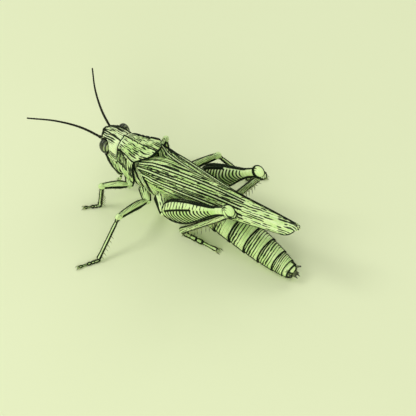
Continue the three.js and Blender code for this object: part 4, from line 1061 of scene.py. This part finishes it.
# Half widths and depths in millimetres. bow is how far the femur bows up, and roll turns its flat
# faces, in radians. joint is how far beyond and below the knee the tibia starts. spines says from and
# to which share of the tibia they stand, how many in a row, how long and how thick. arcs and strokes
# are how dense the pen strokes on knee and tibia are, and hairs multiplies the number of hairs.
WALKING = dict(
    coxa=1.65, femur=(1, 1.32), bow=0.35, roll=0, knob=(1.1, 0.85, 1), arcs=0.3, joint=(0, 0),
    tibia=(0.52, 0.62), strokes=0, tarsus=0.5, spines=(0.45, 0.94, 6, 0.8, 0.15), hairs=1,
)
JUMPING = dict(
    coxa=2.1, femur=(1.85, 3.7), bow=0.2, roll=-0.3, knob=(2.1, 1.35, 1.9), arcs=0.8, joint=(0.9, 1),
    tibia=(0.78, 0.92), strokes=0.3, tarsus=0.68, spines=(0.24, 0.94, 10, 1.35, 0.2), hairs=2.2,
)
# The fishbone ridges on the jumping femora: the way from one to the next, how far each is drawn out
# into a V, how round the V's point is, and how deep the grooves between them are.
CHEVRONS = {"pitch": 1.5, "skew": 0.95, "soft": 0.7, "depth": 0.14}


def coxa(skin, base, hip, radius):
    path = Line(base, hip)
    grid, tt, aa = limb(path, (1, 0, 0), lambda u: radius * mix(1, 0.72, u), 30, 40, blunt=(0.6, 0.5))
    line = side_line(grid, 1.5, unit(hip - base))
    skin.grid(grid, line=line, hatch=aa * 2.5, shade=0.5 * ease(tt, 0.9, 0.4), pale=0.3)
    skin.grid(ball(hip, (0.62 * radius,) * 3, across=32, down=22), pale=0.5)


def walking_thigh(skin, path, way, across, half):
    wide, deep = half

    def size(u):
        return wide * walking_femur(u), deep * walking_femur(u)

    def relief(_, angle):
        return 0.06 * hill(np.abs(np.sin(angle)) - 0.8, 0.1)

    grid, tt, aa = limb(path, across, size, 70, 40, relief)
    line = side_line(grid, 1.1, way) + 2 * ease(tt, 0.93, 0.98)
    shade = 0.3 * ease(np.cos(aa - 2.2), -0.2, 0.6)
    skin.grid(grid, line=line, hatch=aa * 2.4 + tt * 4, shade=shade, pale=0.4)
    return grid


def jumping_thigh(skin, path, across, half, crest):
    """A thigh with a keel along each edge and chevrons on its flat faces. crest is the sine of the
    angle up to which the chevrons reach."""
    wide, deep = half

    def size(u):
        return wide * mix(jumping_femur(u), 1, 0.25), deep * jumping_femur(u)

    def chevron(u, angle):
        height = np.sin(angle)
        off = np.hypot(deep * jumping_femur(u) * height - 0.2, CHEVRONS["soft"])
        window = within(u, 0.05, 0.1, 0.72, 0.8) * within(height, -0.9, -0.74, crest - 0.06, crest + 0.02)
        return (u * path.length - CHEVRONS["skew"] * off) / CHEVRONS["pitch"], window

    def relief(u, angle):
        upright = np.abs(np.sin(angle))
        keels = 0.16 * hill(upright - 0.84, 0.05) + 0.14 * hill(upright - 1, 0.03)
        count, window = chevron(u, angle)
        groove = CHEVRONS["depth"] * (0.5 - 0.5 * np.cos(2 * np.pi * count)) * window
        return keels * within(u, 0, 0.12, 0.8, 1) - groove

    grid, tt, aa = limb(path, across, size, 230, 88, relief)
    smooth = limb(path, across, size, 230, 88)[0]
    count, window = chevron(tt, aa)
    width, height = deep * jumping_femur(tt), np.sin(aa)
    ridge = np.maximum(np.abs(height - crest) * width - 0.08, 0)
    rims = np.maximum(np.abs(np.abs(height) - 0.94) * width * 1.5 - 0.02, 0)
    upper = ease(height, crest, crest + 0.1) * within(tt, 0.05, 0.1, 0.6, 0.75)
    line = least(
        ridge + 4 * ease(tt, 0.5, 0.6) + 4 * ease(tt, 0.08, 0.05), rims + 4 * ease(tt, 0.84, 0.9),
        outline(smooth, normals(smooth)),
    )
    skin.grid(
        grid, line=line, hatch=count, shade=0.42 * window + 0.3 * upper, clean=mix(0.9, 0.2, upper),
        pale=0.5 * ease(height, 0.4, 0.7),
    )
    return grid


def knee_ball(skin, knee, axes, build, near):
    half = build["knob"]
    grid = ball(knee, half, axes, across=48, down=32)
    ahead, _, deep = np.moveaxis((grid - knee) @ axes.T, -1, 0)
    ring = np.hypot(ahead / half[0] - 0.1, deep / half[2])
    arcs = ease(ring, 0.45, 0.6) * ease(ahead, 1.4, 0.2) * build["arcs"]
    line = side_line(grid, 1.9) + FAR * ease(ahead, 0.2, -0.4) * near if build is JUMPING else FAR
    skin.grid(grid, line=line, hatch=ring * 4.2, shade=arcs, clean=0.7, pale=0.4)


def tibia(skin, path, way, flat, build):
    wide, deep = build["tibia"]

    def size(u):
        part = 1 + 0.4 * (1 - ease(u, 0, 0.14)) - 0.12 * hill(u - 0.13, 0.05) + 0.22 * ease(u, 0.86, 1)
        return wide * part, deep * part

    def relief(u, angle):
        return -0.05 * hill(np.abs(np.cos(angle)) - 1, 0.06) * within(u, 0.08, 0.2, 0.85, 0.95)

    grid, tt, aa = limb(path, flat, size, 120, 32, relief)
    line = np.where(tt < 0.05, side_line(grid, 1.2 * deep), side_line(grid, deep, way))
    line = least(line, np.abs(tt - 0.12) * path.length + 0.05)
    skin.grid(grid, line=line, hatch=aa * 1.9 + tt * 3, shade=build["strokes"], pale=0.4)
    return grid


def tibia_spines(spines, path, way, flat, behind, build, random):
    """Two rows of spines, and on a jumping leg two pairs of spurs at the ankle."""
    start, end, each, long, thick = build["spines"]
    deep = build["tibia"][1]

    def spine(u, side, reach, lean):
        out = behind * 0.78 + flat * side * 0.62
        foot = path.at(u) + out * deep * 0.35
        tip = foot + out * reach + way * reach * lean
        thorn(spines, [foot, mix(foot, tip, 0.55) - way * reach * 0.05, tip], thick)

    for side in (-1, 1):
        for step in np.linspace(0, 1, each):
            u = mix(start, end, step) + (random.random() - 0.5) * 0.012 + side * 0.008
            reach = (deep + long) * mix(0.85, 1.02, random.random())
            spine(u, side, reach, mix(0.4, 0.6, random.random()))
        if build is JUMPING:
            spine(0.965, side, 1.3, 1.1)
            spine(0.985, side * 1.6, 1.0, 1.3)


def tarsus(skin, spines, ankle, toe, half):
    """The foot has three joints with pads beneath, two claws and a pad between them."""
    tall = half * 0.76
    ahead = unit((toe - ankle) * (1, 1, 0))
    side_way = np.array([-ahead[1], ahead[0], 0])
    heel = np.array([ankle[0], ankle[1], tall])

    def at(along, aside, up):
        return toe + ahead * along + side_way * aside + (0, 0, up)

    def relief(u, angle):
        return -0.16 * within(u, 0.62, 0.68, 0.88, 0.96) * half * np.clip(-np.sin(angle), 0, 1)

    path = Line(heel, mix(heel, at(0, 0, tall), 0.5), at(0, 0, tall))
    grid, tt, aa = limb(path, side_way, lambda u: half * tarsus_width(u), 110, 28, relief)
    grid[..., 2] = np.maximum(grid[..., 2], 0)
    seam = np.min(np.abs(tt[..., None] - TARSUS_JOINTS), axis=-1) * path.length
    line = least(seam, side_line(grid, half, ahead)) + 0.02
    skin.grid(grid, line=line, hatch=aa * 3, pale=ease(grid[..., 2], tall, 0.1) * 0.6)
    pad = ball(at(half * 0.75, 0, tall * 0.8), (half * 0.72, half * 0.72, tall * 0.9), across=24, down=16)
    pad[..., 2] = np.maximum(pad[..., 2], 0)
    skin.grid(pad, ink=0.55, pale=0.2)
    for turn in (-1, 1):
        out = turn * half
        bend = at(half * 1.3, out * 1.2, tall * 1.15)
        thorn(spines, [at(-0.2, out * 0.5, tall), bend, at(half * 2.3, out, 0.12)], half * 0.34, sides=12)
    return grid


def leg(name, seed):
    base, hip, knee, ankle = (np.array(p, float) for p in LEGS[name][:4])
    toe = np.array([*LEGS[name][4], 0.0])
    jumping, near = name.startswith("hind"), hip[1] < 0
    build = JUMPING if jumping else WALKING
    thigh, shin = unit(knee - hip), unit(ankle - knee)
    flat = unit(np.cross(thigh, shin))
    across = flat * math.cos(build["roll"]) + np.cross(thigh, flat) * math.sin(build["roll"])
    axes = np.array([thigh, across, np.cross(thigh, across)])
    beyond, below = build["joint"]
    joint = knee + thigh * beyond + unit(shin - (shin @ thigh) * thigh) * below
    behind = unit(thigh - (thigh @ shin) * shin) * (1 if jumping else -1)
    thigh_path = Line(hip, mix(hip, knee, 0.5) + (0, 0, build["bow"]), knee)
    shin_path = Line(joint, mix(joint, ankle, 0.5), ankle)

    skin, spines = Skin(), Skin()
    coxa(skin, base, hip, build["coxa"])
    if jumping:
        # The near thigh has a plain field above its chevrons.
        thigh_grid = jumping_thigh(skin, thigh_path, across, build["femur"], 0.36 if near else 0.8)
    else:
        thigh_grid = walking_thigh(skin, thigh_path, thigh, across, build["femur"])
    knee_ball(skin, knee, axes, build, near)
    shin_grid = tibia(skin, shin_path, shin, flat, build)
    tibia_spines(spines, shin_path, shin, flat, behind, build, np.random.default_rng(seed))
    foot_grid = tarsus(skin, spines, ankle, toe, build["tarsus"])
    nodes = [f"{part}_{name}" for part in ("coxa", "femur", "tibia", "tarsus")]
    skin.build(f"leg_{name}", SHANK, "leg", *nodes)
    spines.build(f"spines_{name}", THORN, "horn")

    edges = ease(np.abs(np.sin(ring_angles(thigh_grid.shape[1]))), 0.75, 0.95)[None]
    for grid, count, length, weight, stand in (
        (thigh_grid, 200, 0.5, edges + 0.12, 0.45),
        (shin_grid, 260, 0.6, 1, 0.5),
        (foot_grid, 160, 0.4, ease(foot_grid[..., 2], 0.1, 0.3), 0.5),
    ):
        leg_coat.grow(grid, int(count * build["hairs"]), length, weight=weight, stand=stand)


for k, name in enumerate(LEGS):
    leg(name, 11 + 7 * k)
body_coat.build("fine_hairs_body", "horn")
leg_coat.build("fine_hairs_legs", "horn")

# ---------------- floor, light and camera
FLOOR_REACH = 3.0  # metres from its middle to each side
corners = [(x * FLOOR_REACH, y * FLOOR_REACH, 0) for x, y in ((-1, -1), (1, -1), (1, 1), (-1, 1))]
floor_mesh = bpy.data.meshes.new("floor")
floor_mesh.from_pydata(corners, [], [(0, 1, 2, 3)])
pale_floor = plain_material("pale_floor", (0.78, 0.85, 0.54, 1), (0.75, 0.82, 0.5, 1), 12, 0.8)
floor_mesh.materials.append(pale_floor)
floor = add("floor", floor_mesh)

world = bpy.data.worlds.new("studio")
world.use_nodes = True
sky = world.node_tree.nodes["Background"].inputs
sky["Color"].default_value = (0.9, 0.9, 0.88, 1)
sky["Strength"].default_value = 0.72
bpy.context.scene.world = world


def matrix_of(side, up, away, location):
    return Matrix([*np.transpose([side, up, away, location]), (0, 0, 0, 1)])


# Each lamp's place and width in metres, and its power in watts. They point at the figure's middle.
LAMPS = {
    "key": ((-0.25, -0.2, 0.45), 0.22, 0.8),
    "fill": ((0.42, -0.48, 0.22), 0.35, 1.5),
    "back": ((0.1, 0.5, 0.35), 0.3, 0.4),
}
LIT = (0, 0, 0.01)
for name, (location, size, power) in LAMPS.items():
    lamp = bpy.data.lights.new(name, "AREA")
    lamp.shape, lamp.size, lamp.energy = "DISK", size, power
    away = unit(np.subtract(location, LIT))
    side = unit(np.cross([0, 0, 1], away))
    add(name, lamp).matrix_world = matrix_of(side, np.cross(away, side), away, location)

level = np.array([math.cos(az), math.sin(az), 0])
upright = np.cross(AWAY, level)
side = math.cos(roll) * level + math.sin(roll) * upright
upright = -math.sin(roll) * level + math.cos(roll) * upright
camera = bpy.data.cameras.new("camera")
camera.sensor_width = 36
camera.lens = VIEW["scale"] * VIEW["distance"] * camera.sensor_width / PIXELS
camera.clip_start, camera.clip_end = 0.01, 20
view = add("camera", camera)
view.matrix_world = matrix_of(side, upright, AWAY, (VIEWPOINT + SHIFT) * MM)
bpy.context.scene.camera = view

bpy.context.scene.view_settings.view_transform = "Standard"
bpy.context.view_layer.update()
